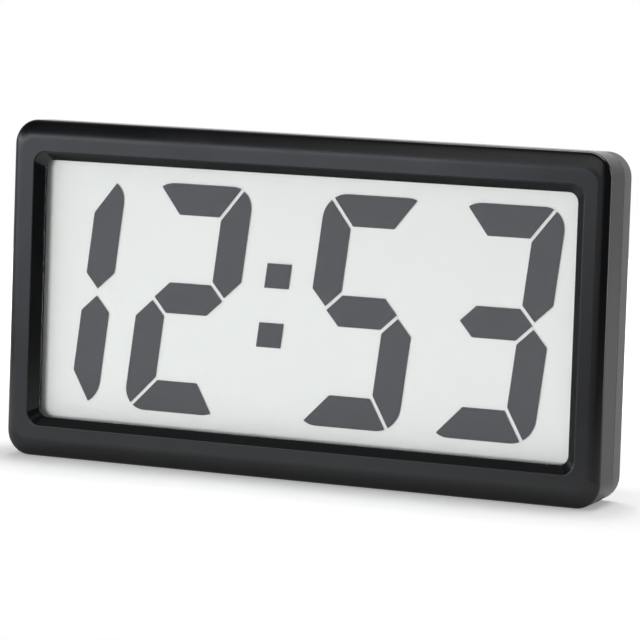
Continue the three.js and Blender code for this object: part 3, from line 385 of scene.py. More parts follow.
def rounded(corners, steps=EDGE_STEPS):
    """Points along a line of (a, b, radius) corners, each rounded to its radius, or sharp if that is 0."""
    points = []
    for i, (a, b, radius) in enumerate(corners):
        here = Vector((a, b))
        if radius == 0:
            points.append(here)
            continue
        before = (Vector(corners[i - 1][:2]) - here).normalized()
        after = (Vector(corners[(i + 1) % len(corners)][:2]) - here).normalized()
        half = before.angle(after) / 2
        middle = here + (before + after).normalized() * radius / math.sin(half)
        start = here + before * radius / math.tan(half) - middle
        end = here + after * radius / math.tan(half) - middle
        turn = math.pi - 2 * half
        for step in range(steps + 1):
            share = step / steps
            along = start * math.sin((1 - share) * turn) + end * math.sin(share * turn)
            points.append(middle + along / math.sin(turn))
    return points


def box_ring(xs, zs, radius, depth):
    """A rounded rectangle on the face at a depth."""
    corners = ((xs[1], zs[1], 1, 1), (xs[0], zs[1], -1, 1), (xs[0], zs[0], -1, -1), (xs[1], zs[0], 1, -1))
    points = []
    for quarter, (x, z, out, up) in enumerate(corners):
        for step in range(CORNER_STEPS + 1):
            turn = (quarter + step / CORNER_STEPS) * math.pi / 2
            across = x - out * radius + radius * math.cos(turn)
            points.append(Vector((across, depth, z - up * radius + radius * math.sin(turn))))
    return points


def face_ring(side, top, bottom, radius, depth):
    """A rounded rectangle set in from the case's outline by its own distance on each edge."""
    half = WIDTH / 2 - side
    return box_ring((-half, half), (bottom, HEIGHT - top), radius, depth)


def case_ring(bezel, depth, inset):
    """The case's outer surface at a depth, drawn in by an inset all round."""
    behind = max(0, depth - face_rim(bezel))
    side = inset + behind * math.tan(SIDE_DRAFT)
    radius = max(bezel.corner_radius - inset, bezel.window_corner)
    return face_ring(side, side, inset + behind * math.tan(LEAN), radius, depth)


def face_rim(bezel):
    """Depth at which the bezel's outer edge meets its sides."""
    return bezel.crown_drop + bezel.edge_radius * math.cos(EDGE_START)


def loft(rings, closes=False):
    """A closed skin through rings of equal count, joined end to end or capped."""
    mesh = bmesh.new()
    rows = [[mesh.verts.new(point) for point in ring] for ring in rings]
    for here, after in zip(rows, rows[1:] + rows[:1] if closes else rows[1:]):
        for i, j in zip(range(len(here)), [*range(1, len(here)), 0]):
            mesh.faces.new((here[i], here[j], after[j], after[i]))
    if not closes:
        mesh.faces.new(rows[0])
        mesh.faces.new(rows[-1])
    bmesh.ops.recalc_face_normals(mesh, faces=mesh.faces)
    return mesh


def block(xs, ys, zs):
    """A box by its limits along each axis."""
    corners = ((xs[0], zs[0]), (xs[1], zs[0]), (xs[1], zs[1]), (xs[0], zs[1]))
    return loft([[Vector((x, y, z)) for x, z in corners] for y in ys])


def circle(sides):
    """Points of a unit circle."""
    turns = [2 * math.pi * i / sides for i in range(sides)]
    return [(math.cos(turn), math.sin(turn)) for turn in turns]


def turned(at, profile, sides=ROUND_SIDES):
    """A body turned about the depth axis at [x, z], from (radius, depth) points."""
    x, z = at
    return loft([[Vector((x + r * u, y, z + r * v)) for u, v in circle(sides)] for r, y in profile])


def barred(at, profile, sides=ROUND_SIDES):
    """A body turned about an axis across the width at [y, z], from (radius, x) points."""
    y, z = at
    return loft([[Vector((x, y + r * u, z + r * v)) for u, v in circle(sides)] for r, x in profile])


def round_bar(radius, ends, edge, core=BAR_CORE):
    """Profile of a round bar with rounded ends, as (radius, place along it) points."""
    near, far = ends
    return rounded([(core, near, 0), (radius, near, edge), (radius, far, edge), (core, far, 0)])


def prism(outline, xs):
    """An outline of (depth, height) points, run across the width."""
    return loft([[Vector((x, y, z)) for y, z in outline] for x in xs])


def about(middle, half):
    """Limits of a span about its middle."""
    return middle - half, middle + half


def on_side(side, near, far):
    """Limits of a span between two distances out on one side."""
    return (near, far) if side > 0 else (-far, -near)


def drilled(at, radius, depths, mouth=0.0, surface=0.0):
    """A small round post or cutter at [x, z], with a chamfered mouth at a surface if asked."""
    if mouth == 0:
        return turned(at, [(radius, depths[0]), (radius, depths[1])], SMALL_SIDES)
    past = depths[1] - surface
    profile = [(radius, depths[0]), (radius, surface - mouth), (radius + mouth + past, depths[1])]
    return turned(at, profile)


def pocket(xs, zs, radius, floor, mouth, surface):
    """A cutter for a rounded rectangular recess with a chamfered mouth."""
    grown = mouth + CUT_PAST
    wide = (xs[0] - grown, xs[1] + grown)
    tall = (zs[0] - grown, zs[1] + grown)
    return loft([
        box_ring(xs, zs, radius, floor),
        box_ring(xs, zs, radius, surface - mouth),
        box_ring(wide, tall, radius + grown, surface + CUT_PAST),
    ])


def softened(mesh, width):
    """The mesh with its hard edges rounded."""
    hard = [edge for edge in mesh.edges if edge.calc_face_angle(0) > SOFT_ANGLE]
    settings = {"segments": BEVEL_STEPS, "profile": 0.5, "affect": "EDGES", "clamp_overlap": True}
    bmesh.ops.bevel(mesh, geom=hard, offset=width, offset_type="OFFSET", **settings)
    return mesh


def gathered(meshes):
    """One mesh that holds several, which are freed."""
    data = bpy.data.meshes.new("gathering")
    whole = bmesh.new()
    for mesh in meshes:
        mesh.to_mesh(data)
        mesh.free()
        whole.from_mesh(data)
    bpy.data.meshes.remove(data)
    return whole


def combined(mesh, tools, operation):
    """The mesh joined with, or cut by, solids that don't touch each other."""
    stand_ins = []
    for solid in (mesh, gathered(tools)):
        data = bpy.data.meshes.new("shaping")
        solid.to_mesh(data)
        solid.free()
        stand_in = bpy.data.objects.new("shaping", data)
        bpy.context.scene.collection.objects.link(stand_in)
        stand_ins.append(stand_in)
    body, tool = stand_ins
    shaping = body.modifiers.new("Shaping", "BOOLEAN")
    shaping.operation = operation
    shaping.solver = "MANIFOLD"
    shaping.object = tool
    result = bmesh.new()
    result.from_object(body, bpy.context.evaluated_depsgraph_get())
    for stand_in in stand_ins:
        bpy.data.meshes.remove(stand_in.data)
    bmesh.ops.remove_doubles(result, verts=result.verts, dist=WELD)
    bmesh.ops.dissolve_degenerate(result, edges=result.edges, dist=WELD)
    return result


def piece(name, mesh, materials, body, replaces=(), place=CASE):
    """A finished piece that rides on a body and stands for CAD nodes."""
    data = bpy.data.meshes.new(name)
    mesh.transform(place)
    mesh.normal_update()
    mesh.to_mesh(data)
    mesh.free()
    data.shade_smooth()
    data.set_sharp_from_angle(angle=SHARP_ANGLE)
    for material in materials:
        data.materials.append(material)
    made = bpy.data.objects.new(name, data)
    bpy.context.scene.collection.objects.link(made)
    even = made.modifiers.new("Even shading", "WEIGHTED_NORMAL")
    even.keep_sharp = True
    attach(made, body)
    if replaces:
        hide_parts(*replaces)


def dress(material, *nodes):
    """Give CAD nodes a finish."""
    for node in nodes:
        data = frame["nodes"][node].data
        data.materials.clear()
        data.materials.append(material)


def add(tree, kind, inputs=None, **settings):
    """Add a node with its settings; an input is a value, or a socket to link from."""
    node = tree.nodes.new(kind)
    for name, value in settings.items():
        setattr(node, name, value)
    for name, value in (inputs or {}).items():
        if isinstance(value, bpy.types.NodeSocket):
            tree.links.new(value, node.inputs[name])
        else:
            node.inputs[name].default_value = value
    return node


def started(name):
    """A new material's node tree, and the object coordinates that its patterns use."""
    material = bpy.data.materials.new(name)
    material.use_nodes = True
    tree = material.node_tree
    tree.nodes.clear()
    return material, tree, add(tree, "ShaderNodeTexCoord").outputs["Object"]


def surfaced(material, inputs):
    """Finish a material with a surface shader."""
    tree = material.node_tree
    shader = add(tree, "ShaderNodeBsdfPrincipled", inputs)
    add(tree, "ShaderNodeOutputMaterial", {"Surface": shader.outputs[0]})
    return material


def per(millimetres):
    """Pattern scale for a feature of a real size."""
    return 1 / (millimetres * MM)


def shaded(tint, factor):
    """A colour made darker or lighter by a factor."""
    return (*(min(1.0, channel * factor) for channel in tint[:3]), 1.0)


def moulded_plastic(name, tint, grain, relief, roughness, haze=0.0):
    """Plastic moulded, extruded or poured: an even colour with faint flow shading, a grain of a given size
    that spreads the highlights, and on a coarse grain a pale haze at a grazing angle."""
    if name in bpy.data.materials:
        return bpy.data.materials[name]
    material, tree, place = started(name)
    flow = add(tree, "ShaderNodeTexNoise", {"Vector": place, "Scale": per(18), "Detail": 3.0})
    pits = add(tree, "ShaderNodeTexNoise", {"Vector": place, "Scale": per(grain), "Detail": 2.0})
    shade = add(tree, "ShaderNodeMix",
                {0: flow.outputs["Fac"], 6: shaded(tint, 0.88), 7: shaded(tint, 1.12)}, data_type="RGBA")
    gloss = add(tree, "ShaderNodeMapRange",
                {"Value": flow.outputs["Fac"], "From Min": 0.3, "From Max": 0.7,
                 "To Min": roughness - 0.04, "To Max": roughness + 0.04})
    bump = add(tree, "ShaderNodeBump",
               {"Strength": 1.0, "Distance": relief * MM, "Height": pits.outputs["Fac"]})
    return surfaced(material, {
        "Base Color": shade.outputs[2], "Roughness": gloss.outputs[0], "IOR": 1.53, "Sheen Weight": haze,
        "Sheen Roughness": 0.35, "Normal": bump.outputs[0],
    })


def polariser_film():
    """Anti-glare polariser, cast film with a matt hard coat: it veils the display a little, breaks up
    reflections and darkens at a grazing angle."""
    material, tree, place = started("polariser_cast_anti_glare_film")
    # The coat's 0.03 mm grain is drawn at 0.2 mm so that it shows
    grain = add(tree, "ShaderNodeTexNoise", {"Vector": place, "Scale": per(0.2), "Detail": 1.0})
    gloss = add(tree, "ShaderNodeMapRange",
                {"Value": grain.outputs["Fac"], "To Min": 0.38, "To Max": 0.5})
    bump = add(tree, "ShaderNodeBump",
               {"Strength": 0.5, "Distance": 0.002 * MM, "Height": grain.outputs["Fac"]})
    tilt = add(tree, "ShaderNodeLayerWeight", {"Blend": 0.5})
    veil = add(tree, "ShaderNodeMapRange",
               {"Value": tilt.outputs["Facing"], "From Min": 0.5, "From Max": 0.76,
                "To Min": 0.03, "To Max": 0.97})
    return surfaced(material, {
        "Base Color": linear(0x3A3D3C), "Roughness": gloss.outputs[0], "IOR": 1.49,
        "Specular IOR Level": 0.2, "Normal": bump.outputs[0], "Alpha": veil.outputs[0],
    })


def float_glass():
    """Soda-lime glass, floated and scribed: clear, with the faintest green and a slow surface wave."""
    material, tree, place = started("soda_lime_float_glass")
    wave = add(tree, "ShaderNodeTexNoise", {"Vector": place, "Scale": per(9), "Detail": 1.0})
    gloss = add(tree, "ShaderNodeMapRange",
                {"Value": wave.outputs["Fac"], "To Min": 0.03, "To Max": 0.07})
    bump = add(tree, "ShaderNodeBump",
               {"Strength": 0.3, "Distance": 0.002 * MM, "Height": wave.outputs["Fac"]})
    return surfaced(material, {
        "Base Color": linear(0xDDE8E2), "Roughness": gloss.outputs[0], "IOR": 1.52,
        "Normal": bump.outputs[0], "Alpha": 0.02,
    })


def dark_segments(tint):
    """Liquid crystal switched on behind crossed polarisers: a flat, slightly blue grey with no shine."""
    material, tree, place = started("liquid_crystal_switched_on")
    cloud = add(tree, "ShaderNodeTexNoise", {"Vector": place, "Scale": per(12), "Detail": 2.0})
    shade = add(tree, "ShaderNodeMix",
                {0: cloud.outputs["Fac"], 6: shaded(tint, 0.97), 7: shaded(tint, 1.03)}, data_type="RGBA")
    grain = add(tree, "ShaderNodeTexNoise", {"Vector": place, "Scale": per(0.2)})
    gloss = add(tree, "ShaderNodeMapRange", {"Value": grain.outputs["Fac"], "To Min": 0.85, "To Max": 0.95})
    return surfaced(material, {
        "Base Color": shade.outputs[2], "Roughness": gloss.outputs[0], "Specular IOR Level": 0.1,
    })


def reflector_film(tint):
    """Reflective polariser, a cast film loaded with pearl mica: matt and pale, with the finest sparkle."""
    material, tree, place = started("reflector_cast_pearl_film")
    # Mica flakes are about 0.02 mm, drawn at 0.25 mm so that they show
    flakes = add(tree, "ShaderNodeTexVoronoi", {"Vector": place, "Scale": per(0.25)})
    tone = add(tree, "ShaderNodeSeparateColor", {"Color": flakes.outputs["Color"]})
    shade = add(tree, "ShaderNodeMix",
                {0: tone.outputs[0], 6: shaded(tint, 0.985), 7: shaded(tint, 1.015)}, data_type="RGBA")
    gloss = add(tree, "ShaderNodeMapRange", {"Value": tone.outputs[1], "To Min": 0.6, "To Max": 0.75})
    bump = add(tree, "ShaderNodeBump",
               {"Strength": 0.15, "Distance": 0.003 * MM, "Height": tone.outputs[2]})
    return surfaced(material, {
        "Base Color": shade.outputs[2], "Roughness": gloss.outputs[0], "Specular IOR Level": 0.2,
        "Normal": bump.outputs[0],
    })


def metal(name, tint, grain, relief, roughness):
    """Plated, drawn or blackened metal: fine scratches and a plating grain that vary its shine."""
    if name in bpy.data.materials:
        return bpy.data.materials[name]
    material, tree, place = started(name)
    patches = add(tree, "ShaderNodeTexNoise", {"Vector": place, "Scale": per(1.6), "Detail": 4.0})
    skin = add(tree, "ShaderNodeTexNoise", {"Vector": place, "Scale": per(grain), "Detail": 3.0})
    shade = add(tree, "ShaderNodeMix",
                {0: patches.outputs["Fac"], 6: shaded(tint, 0.9), 7: shaded(tint, 1.08)}, data_type="RGBA")
    gloss = add(tree, "ShaderNodeMapRange",
                {"Value": patches.outputs["Fac"], "From Min": 0.3, "From Max": 0.7,
                 "To Min": roughness - 0.06, "To Max": roughness + 0.06})
    bump = add(tree, "ShaderNodeBump",
               {"Strength": 0.6, "Distance": relief * MM, "Height": skin.outputs["Fac"]})
    return surfaced(material, {
        "Base Color": shade.outputs[2], "Metallic": 1.0, "Roughness": gloss.outputs[0],
        "Normal": bump.outputs[0],
    })


def contact_elastomer():
    """Silicone strip of carbon and clear layers, cast and sliced: dark and pale bands along its length."""
    material, tree, place = started("elastomer_sliced_layers")
    # Layers are 0.1 mm apart, drawn 3.1 mm apart so that they show, which is a radian in 0.5 mm
    bands = add(tree, "ShaderNodeTexWave",
                {"Vector": place, "Scale": per(0.5) / WAVE_RADIANS, "Distortion": 0.0}, bands_direction="X")
    shade = add(tree, "ShaderNodeMix",
                {0: bands.outputs["Fac"], 6: linear(0x17181A), 7: linear(0x8E9291)}, data_type="RGBA")
    gloss = add(tree, "ShaderNodeMapRange", {"Value": bands.outputs["Fac"], "To Min": 0.7, "To Max": 0.85})
    return surfaced(material, {
        "Base Color": shade.outputs[2], "Roughness": gloss.outputs[0], "IOR": 1.41,
    })


def board_laminate():
    """Glass-epoxy board under a screened green solder mask: paler over the copper runs, and faintly woven."""
    material, tree, place = started("glass_epoxy_solder_masked")
    weave = add(tree, "ShaderNodeTexNoise", {"Vector": place, "Scale": per(0.5), "Detail": 2.0})
    runs = add(tree, "ShaderNodeTexBrick",
               {"Vector": place, "Scale": per(40), "Color1": linear(0x1F5A3A), "Color2": linear(0x24643F),
                "Mortar": linear(0x2F7D50), "Mortar Size": 0.03})
    gloss = add(tree, "ShaderNodeMapRange", {"Value": weave.outputs["Fac"], "To Min": 0.3, "To Max": 0.45})
    bump = add(tree, "ShaderNodeBump",
               {"Strength": 0.4, "Distance": 0.02 * MM, "Height": weave.outputs["Fac"]})
    return surfaced(material, {
        "Base Color": runs.outputs["Color"], "Roughness": gloss.outputs[0], "IOR": 1.55,
        "Normal": bump.outputs[0],
    })


def shrink_sleeve():
    """PVC sleeve shrunk on the cell: a glossy grey-blue film with one plain pale band at the positive end."""
    material, tree, place = started("pvc_shrink_sleeve")
    low, high = span("battery_cell")
    band_share = 0.14
    band_start = high.x - band_share * (high.x - low.x)
    across = add(tree, "ShaderNodeSeparateXYZ", {"Vector": place})
    band = add(tree, "ShaderNodeMath", {0: across.outputs["X"], 1: band_start}, operation="GREATER_THAN")
    shade = add(tree, "ShaderNodeMix",
                {0: band.outputs[0], 6: linear(0x46586A), 7: linear(0xC9CCCB)}, data_type="RGBA")
    ripple = add(tree, "ShaderNodeTexNoise", {"Vector": place, "Scale": per(2.5), "Detail": 2.0})
    gloss = add(tree, "ShaderNodeMapRange", {"Value": ripple.outputs["Fac"], "To Min": 0.2, "To Max": 0.32})
    bump = add(tree, "ShaderNodeBump",
               {"Strength": 0.5, "Distance": 0.02 * MM, "Height": ripple.outputs["Fac"]})
    return surfaced(material, {
        "Base Color": shade.outputs[2], "Roughness": gloss.outputs[0], "IOR": 1.53,
        "Normal": bump.outputs[0],
    })


def paper_floor(stage):
    """Matt white paper: evenly pale, with the clock's soft shadow on it. For the camera it glows, least
    against the clock, which paints a darker shade round its foot on top of the real shadow, and up to white
    away from it; in reflections it glows a little all over."""
    material, tree, place = started("paper_matt_white")
    fibres = add(tree, "ShaderNodeTexNoise", {"Vector": place, "Scale": per(1.5), "Detail": 3.0})
    gloss = add(tree, "ShaderNodeMapRange", {"Value": fibres.outputs["Fac"], "To Min": 0.85, "To Max": 0.95})
    ray = add(tree, "ShaderNodeLightPath")
    seen = add(tree, "ShaderNodeMath",
               {0: ray.outputs["Is Camera Ray"], 1: ray.outputs["Is Transmission Ray"]}, operation="MAXIMUM")
    base = CASE @ Vector((0, DEPTH / 2, 0))
    half = Vector((WIDTH, DEPTH, HEIGHT)) / 2
    offset = add(tree, "ShaderNodeVectorMath", {0: place, 1: base}, operation="SUBTRACT")
    apart = add(tree, "ShaderNodeVectorMath", {0: offset.outputs[0]}, operation="ABSOLUTE")
    beyond = add(tree, "ShaderNodeVectorMath", {0: apart.outputs[0], 1: half}, operation="SUBTRACT")
    outside = add(tree, "ShaderNodeVectorMath", {0: beyond.outputs[0], 1: (0, 0, 0)}, operation="MAXIMUM")
    away = add(tree, "ShaderNodeVectorMath", {0: outside.outputs[0]}, operation="LENGTH")
    # Painted shade: the camera's glow is held lower within a few millimetres of the clock's box, which darkens the
    # floor round its foot beyond its real shadow.
    glow_with_painted_shade = add(tree, "ShaderNodeMapRange",
                  {"Value": away.outputs["Value"], "From Min": stage.painted_shade_near,
                   "From Max": stage.painted_shade_far, "To Min": stage.glow_in_painted_shade, "To Max": stage.floor_open})
    rise = add(tree, "ShaderNodeMapRange",
               {"Value": away.outputs["Value"], "From Min": stage.floor_near, "From Max": stage.floor_far,
                "To Min": glow_with_painted_shade.outputs[0], "To Max": 1.0})
    glow = add(tree, "ShaderNodeMath", {0: seen.outputs[0], 1: rise.outputs[0]}, operation="MULTIPLY")
    mirrored = add(tree, "ShaderNodeMix",
                   {0: ray.outputs["Is Glossy Ray"], 2: glow.outputs[0], 3: stage.floor_mirrored})
    return surfaced(material, {
        "Base Color": tuple(stage.floor), "Roughness": gloss.outputs[0], "Specular IOR Level": 0.0,
        "Emission Color": (1, 1, 1, 1), "Emission Strength": mirrored.outputs[0],
    })


def satin_abs(bezel):
    """Bezel finish: black ABS against a satin-polished tool, which gives soft, clear highlights."""
    return moulded_plastic("abs_satin_moulded", bezel.plastic, grain=0.15, relief=0.0012, roughness=0.23)


def eroded_abs(cover):
    """Cover finish: charcoal ABS against a spark-eroded tool, which gives a fine, dull grain."""
    settings = {"grain": 0.35, "relief": 0.012, "roughness": 0.5, "haze": 0.9}
    return moulded_plastic("abs_spark_eroded_moulded", cover.plastic, **settings)


def bright_steel():
    """Drawn and nickelled steel of the spring, pin and crystal can."""
    return metal("steel_drawn_nickelled", linear(0xC6C8CA), grain=0.2, relief=0.004, roughness=0.3)


def dark_steel():
    """Blackened zinc on the screws and switch cans."""
    return metal("steel_black_zinc", linear(0x55585B), grain=0.15, relief=0.004, roughness=0.38)


def nickel_plate():
    """Bright nickel plate on the magnets and contacts."""
    return metal("nickel_bright_plated", linear(0xC2C3C4), grain=0.6, relief=0.004, roughness=0.24)


def bezel_rings(bezel):
    """Rings round the bezel's wall section, from the parting line over the face and back."""
    rim = face_rim(bezel)
    edge_inset = bezel.edge_radius * (1 - math.sin(EDGE_START))
    crown = (bezel.crown_side + bezel.crown_top) / 2
    face = (bezel.face_side + bezel.face_top) / 2
    window = (bezel.window_side + bezel.window_top) / 2
    insets = (0, edge_inset, crown, face, window)
    sides = (0, edge_inset, bezel.crown_side, bezel.face_side, bezel.window_side)
    tops = (0, edge_inset, bezel.crown_top, bezel.face_top, bezel.window_top)
    inner = bezel.corner_radius - edge_inset
    radii = (bezel.corner_radius, inner, bezel.face_corner, bezel.face_corner, bezel.window_corner)

    side = rounded([(bezel.wall, bezel.depth, 0), (0, bezel.depth, bezel.parting_edge), (0, rim, 0)])
    section = []
    for step in range(1, EDGE_ARC_STEPS + 1):
        tilt = math.pi / 2 + (EDGE_START - math.pi / 2) * step / EDGE_ARC_STEPS
        section.append((bezel.edge_radius * (1 - math.sin(tilt)), rim - bezel.edge_radius * math.cos(tilt)))
    for step in range(1, CROWN_STEPS):
        rise = step / CROWN_STEPS
        section.append((edge_inset + (crown - edge_inset) * rise, bezel.crown_drop * (1 - rise) ** 2))
    section += rounded([
        (crown, 0, 0),
        (face, 0, bezel.face_edge),
        (window, bezel.chamfer_depth, bezel.window_edge),
        (window, bezel.front_wall, 0),
    ])
    rings = [case_ring(bezel, depth, inset) for inset, depth in side]
    for inset, depth in section:
        across, above, radius = (float(np.interp(inset, insets, line)) for line in (sides, tops, radii))
        rings.append(face_ring(across, above, above, radius, depth))
    rings.append(case_ring(bezel, bezel.front_wall, bezel.wall))
    return rings


def glass_ribs(bezel, root):
    """Short ribs inside the bezel that locate the glass, two above, two below and one at each side."""
    low, high = span("lcd_front_glass")
    depth = (root, span("lcd_rear_glass")[1].y)
    half = bezel.rib_length / 2
    above = high.z + FIT_GAP
    below = low.z - FIT_GAP
    beside = high.x + FIT_GAP
    ribs = []
    for side in SIDES:
        across = about(side * high.x / 2, half)
        ribs.append(block(across, depth, (above, above + bezel.rib_thickness)))
        ribs.append(block(across, depth, (below - bezel.rib_thickness, below)))
        outward = on_side(side, beside, beside + bezel.rib_thickness)
        ribs.append(block(outward, depth, about(HEIGHT / 2, half)))
    return ribs


class CLOCK_OT_bezel(bpy.types.Operator):
    """Build the front bezel, with its crowned face, sunk window, screw posts and glass ribs"""

    bl_idname = "clock.bezel"
    bl_label = "Front bezel"

    def execute(self, context):
        bezel = context.scene.clock_bezel
        root = bezel.front_wall - bezel.post_root
        seat = context.scene.clock_cover.rim_depth - bezel.post_drop
        holder = span("lcd_holder")[0].y - FIT_GAP
        posts, pilots = [], []
        for nodes, post, pilot, end in (
            (CASE_SCREWS, bezel.case_post, bezel.case_pilot, seat),
            (HOLDER_SCREWS, bezel.holder_post, bezel.holder_pilot, holder),
        ):
            tip = span(nodes[0])[0].y - FIT_GAP
            posts += [drilled(centre(node), post, (root, end)) for node in nodes]
            pilots += [drilled(centre(node), pilot, (tip, seat + CUT_PAST)) for node in nodes]
        mesh = combined(loft(bezel_rings(bezel), closes=True), posts, "UNION")
        mesh = combined(mesh, glass_ribs(bezel, root), "UNION")
        mesh = combined(mesh, pilots, "DIFFERENCE")
        piece("bezel_shell", mesh, [satin_abs(bezel)], "case", ["front_bezel"])
        return {"FINISHED"}


def panel_ring(cover, inset, depth):
    """The raised back panel's outline at a depth, drawn in by an inset."""
    edges = [edge + inset for edge in (cover.panel_side, cover.panel_top, cover.panel_bottom)]
    return face_ring(*edges, cover.panel_corner - inset / 2, depth)


def panel_height(cover, depth):
    """Height of the panel's upper slope at a depth."""
    climb = (depth - cover.rim_depth) / (DEPTH - cover.rim_depth)
    return HEIGHT - cover.panel_top - cover.panel_slope * climb


def cover_rings(bezel, cover):
    """Rings over the rear cover, from the panel round the rim to the tongue and back along the inside."""
    front = bezel.depth + FIT_GAP
    tongue_out = bezel.wall + FIT_GAP
    tongue_in = tongue_out + cover.tongue_wall
    tongue_end = bezel.depth - cover.tongue_depth
    inner_rim = cover.rim_depth - cover.wall
    panel = rounded([
        (cover.panel_slope + 2 * cover.panel_edge, DEPTH, 0),
        (cover.panel_slope, DEPTH, cover.panel_edge),
        (0, cover.rim_depth, cover.panel_fillet),
        (-2 * cover.panel_fillet, cover.rim_depth, 0),
    ])
    rim = rounded([
        (cover.step + 2 * cover.rear_radius, cover.rim_depth, 0),
        (cover.step, cover.rim_depth, cover.rear_radius),
        (cover.step, front, bezel.parting_edge),
        (tongue_out, front, 0),
    ], EDGE_ARC_STEPS)
    tongue = [(tongue_out, tongue_end), (tongue_in, tongue_end), (tongue_in, inner_rim)]
    rings = [panel_ring(cover, inset, depth) for inset, depth in panel]
    rings += [case_ring(bezel, depth, inset) for inset, depth in rim + tongue]
    rings.append(panel_ring(cover, cover.wall, inner_rim))
    rings.append(panel_ring(cover, cover.panel_slope + cover.wall, DEPTH - cover.wall))
    return rings


def well_limits(cover):
    """Limits of the battery well and of the grooves that the door slides in."""
    low, high = span("battery_cell")
    half = span("contact_plate_positive")[1].x + FIT_GAP
    inner = DEPTH - cover.door_thickness
    return {
        "half": half,
        "front": low.y - FIT_GAP,
        "bottom": low.z - cover.well_room,
        "top": high.z + cover.well_room,
        "cell": ((low.y + high.y) / 2, (low.z + high.z) / 2),
        "door_half": half + FIT_GAP,
        "groove_half": half + 2 * FIT_GAP + cover.door_tongue,
        "groove_front": inner - cover.door_tongue_depth - 2 * FIT_GAP,
        "inner": inner,
    }


def recess_limits(cover):
    """Half-width, floor and top of the recess that takes the folded foot."""
    _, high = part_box("stand_foot")
    half = high.x + cover.foot_room
    floor = DEPTH - cover.foot_thickness - FIT_GAP
    top = CASE_HINGE.z + high.y - HINGE.y + cover.foot_room
    return half, floor, top


def pin_bore(cover, at, half):
    """A cutter for the hinge pin's bore at [y, z], through a width and past it."""
    return barred(at, [(cover.pin_bore, x) for x in about(0, half + CUT_PAST)], SMALL_SIDES)


class CLOCK_OT_rear_cover(bpy.types.Operator):
    """Build the rear cover, with its battery well, door grooves, foot recess, hinge lugs and pockets"""

    bl_idname = "clock.rear_cover"
    bl_label = "Rear cover"

    def execute(self, context):
        cover = context.scene.clock_cover
        mesh = loft(cover_rings(context.scene.clock_bezel, cover))
        for tools in self.stock(cover):
            mesh = combined(mesh, tools, "UNION")
        for tools in self.cuts(cover):
            mesh = combined(mesh, tools, "DIFFERENCE")
        piece("rear_shell", mesh, [eroded_abs(cover)], "case", ["rear_cover"])
        return {"FINISHED"}

    def stock(self, cover):
        """Two sets of solids to join to the shell; those of a set don't touch each other."""
        well = well_limits(cover)
        recess_half, recess_floor, recess_top = recess_limits(cover)
        across = about(0, well["groove_half"] + cover.well_wall)
        bottom = well["bottom"] - cover.well_wall
        groove = well["groove_front"]
        behind = DEPTH - cover.wall / 2
        in_rim = cover.rim_depth - cover.wall / 2
        magnet_seat = (span(MAGNETS[0])[0].y - FIT_GAP - cover.magnet_floor, behind)
        screw_seat = (cover.rim_depth - cover.seat_depth, in_rim)
        seats = []
        for node in MAGNETS:
            radius = radius_of(node) + cover.wall
            seats.append(turned(centre(node), [(radius, depth) for depth in magnet_seat]))
        for node in CASE_SCREWS:
            seats.append(drilled(centre(node), cover.sink_radius + cover.seat_wall, screw_seat))
        lugs, webs = [], []
        for side in SIDES:
            ends = on_side(side, recess_half, recess_half + cover.lug_width)
            round_lug = round_bar(cover.lug_radius, ends, cover.lug_edge)
            lugs.append(barred((CASE_HINGE.y, CASE_HINGE.z), round_lug))
            web = block(ends, (in_rim, CASE_HINGE.y), about(CASE_HINGE.z, cover.lug_radius))
            webs.append(softened(web, cover.lug_edge))
        well_front = block(across, (well["front"] - cover.well_floor, groove),
                           (bottom, panel_height(cover, groove) - FIT_GAP))
        well_back = block(across, (groove - cover.wall, behind), (bottom, well["top"] + cover.well_wall))
        backing = block(about(0, recess_half + cover.wall), (recess_floor - cover.wall, behind),
                        (cover.panel_bottom + cover.panel_slope, recess_top + cover.wall))
        return [[well_front, *seats, *lugs], [well_back, backing, *webs]]

    def cuts(self, cover):
        """Four sets of solids to cut from the shell; those of a set don't touch each other."""
        well = well_limits(cover)
        recess_half, recess_floor, recess_top = recess_limits(cover)
        past = DEPTH + CUT_PAST
        above = HEIGHT + CUT_PAST
        door_bottom = well["bottom"] - FIT_GAP
        inside = block(about(0, well["half"]), (well["front"], well["inner"]), (well["bottom"], well["top"]))
        recess = pocket(about(0, recess_half), (-CUT_PAST, recess_top), cover.recess_corner, recess_floor,
                        cover.mouth, DEPTH)
        holes, shanks, rooms = [], [], []
        for node in MAGNETS:
            depths = (span(node)[0].y - FIT_GAP, past)
            holes.append(drilled(centre(node), radius_of(node) + FIT_GAP, depths, cover.mouth, DEPTH))
        for node in BUTTONS:
            depths = (cover.rim_depth, past)
            holes.append(drilled(centre(node), cover.button_hole, depths, cover.mouth, DEPTH))
        for node in CASE_SCREWS:
            seat = cover.rim_depth - cover.sink_depth
            depths = (seat, cover.rim_depth + SHORT_PAST)
            holes.append(drilled(centre(node), cover.sink_radius, depths, cover.mouth / 2, cover.rim_depth))
            shanks.append(drilled(centre(node), cover.shank_hole, (0, past)))
            rooms.append(drilled(centre(node), cover.post_room, (0, seat - cover.seat_floor)))
        groove_depths = (well["groove_front"], well["inner"])
        groove = block(about(0, well["groove_half"]), groove_depths, (door_bottom, above))
        bore = pin_bore(cover, (CASE_HINGE.y, CASE_HINGE.z), recess_half)
        notch_half = well["door_half"] + FIT_GAP
        notch = pocket(about(0, notch_half), (door_bottom, above), cover.notch_corner, well["groove_front"],
                       cover.mouth / 2, DEPTH)
        cell_y, cell_z = well["cell"]
        slit_depths = about(cell_y, cover.slit_width / 2)
        slit_heights = (well["bottom"] - 2 * cover.well_wall, cell_z)
        slits = []
        for side in SIDES:
            reach = on_side(side, well["half"] - cover.slit_depth, well["half"])
            slits.append(block(reach, slit_depths, slit_heights))
        return [[inside, recess, *holes], [groove, bore, *shanks], [notch, *rooms], slits]


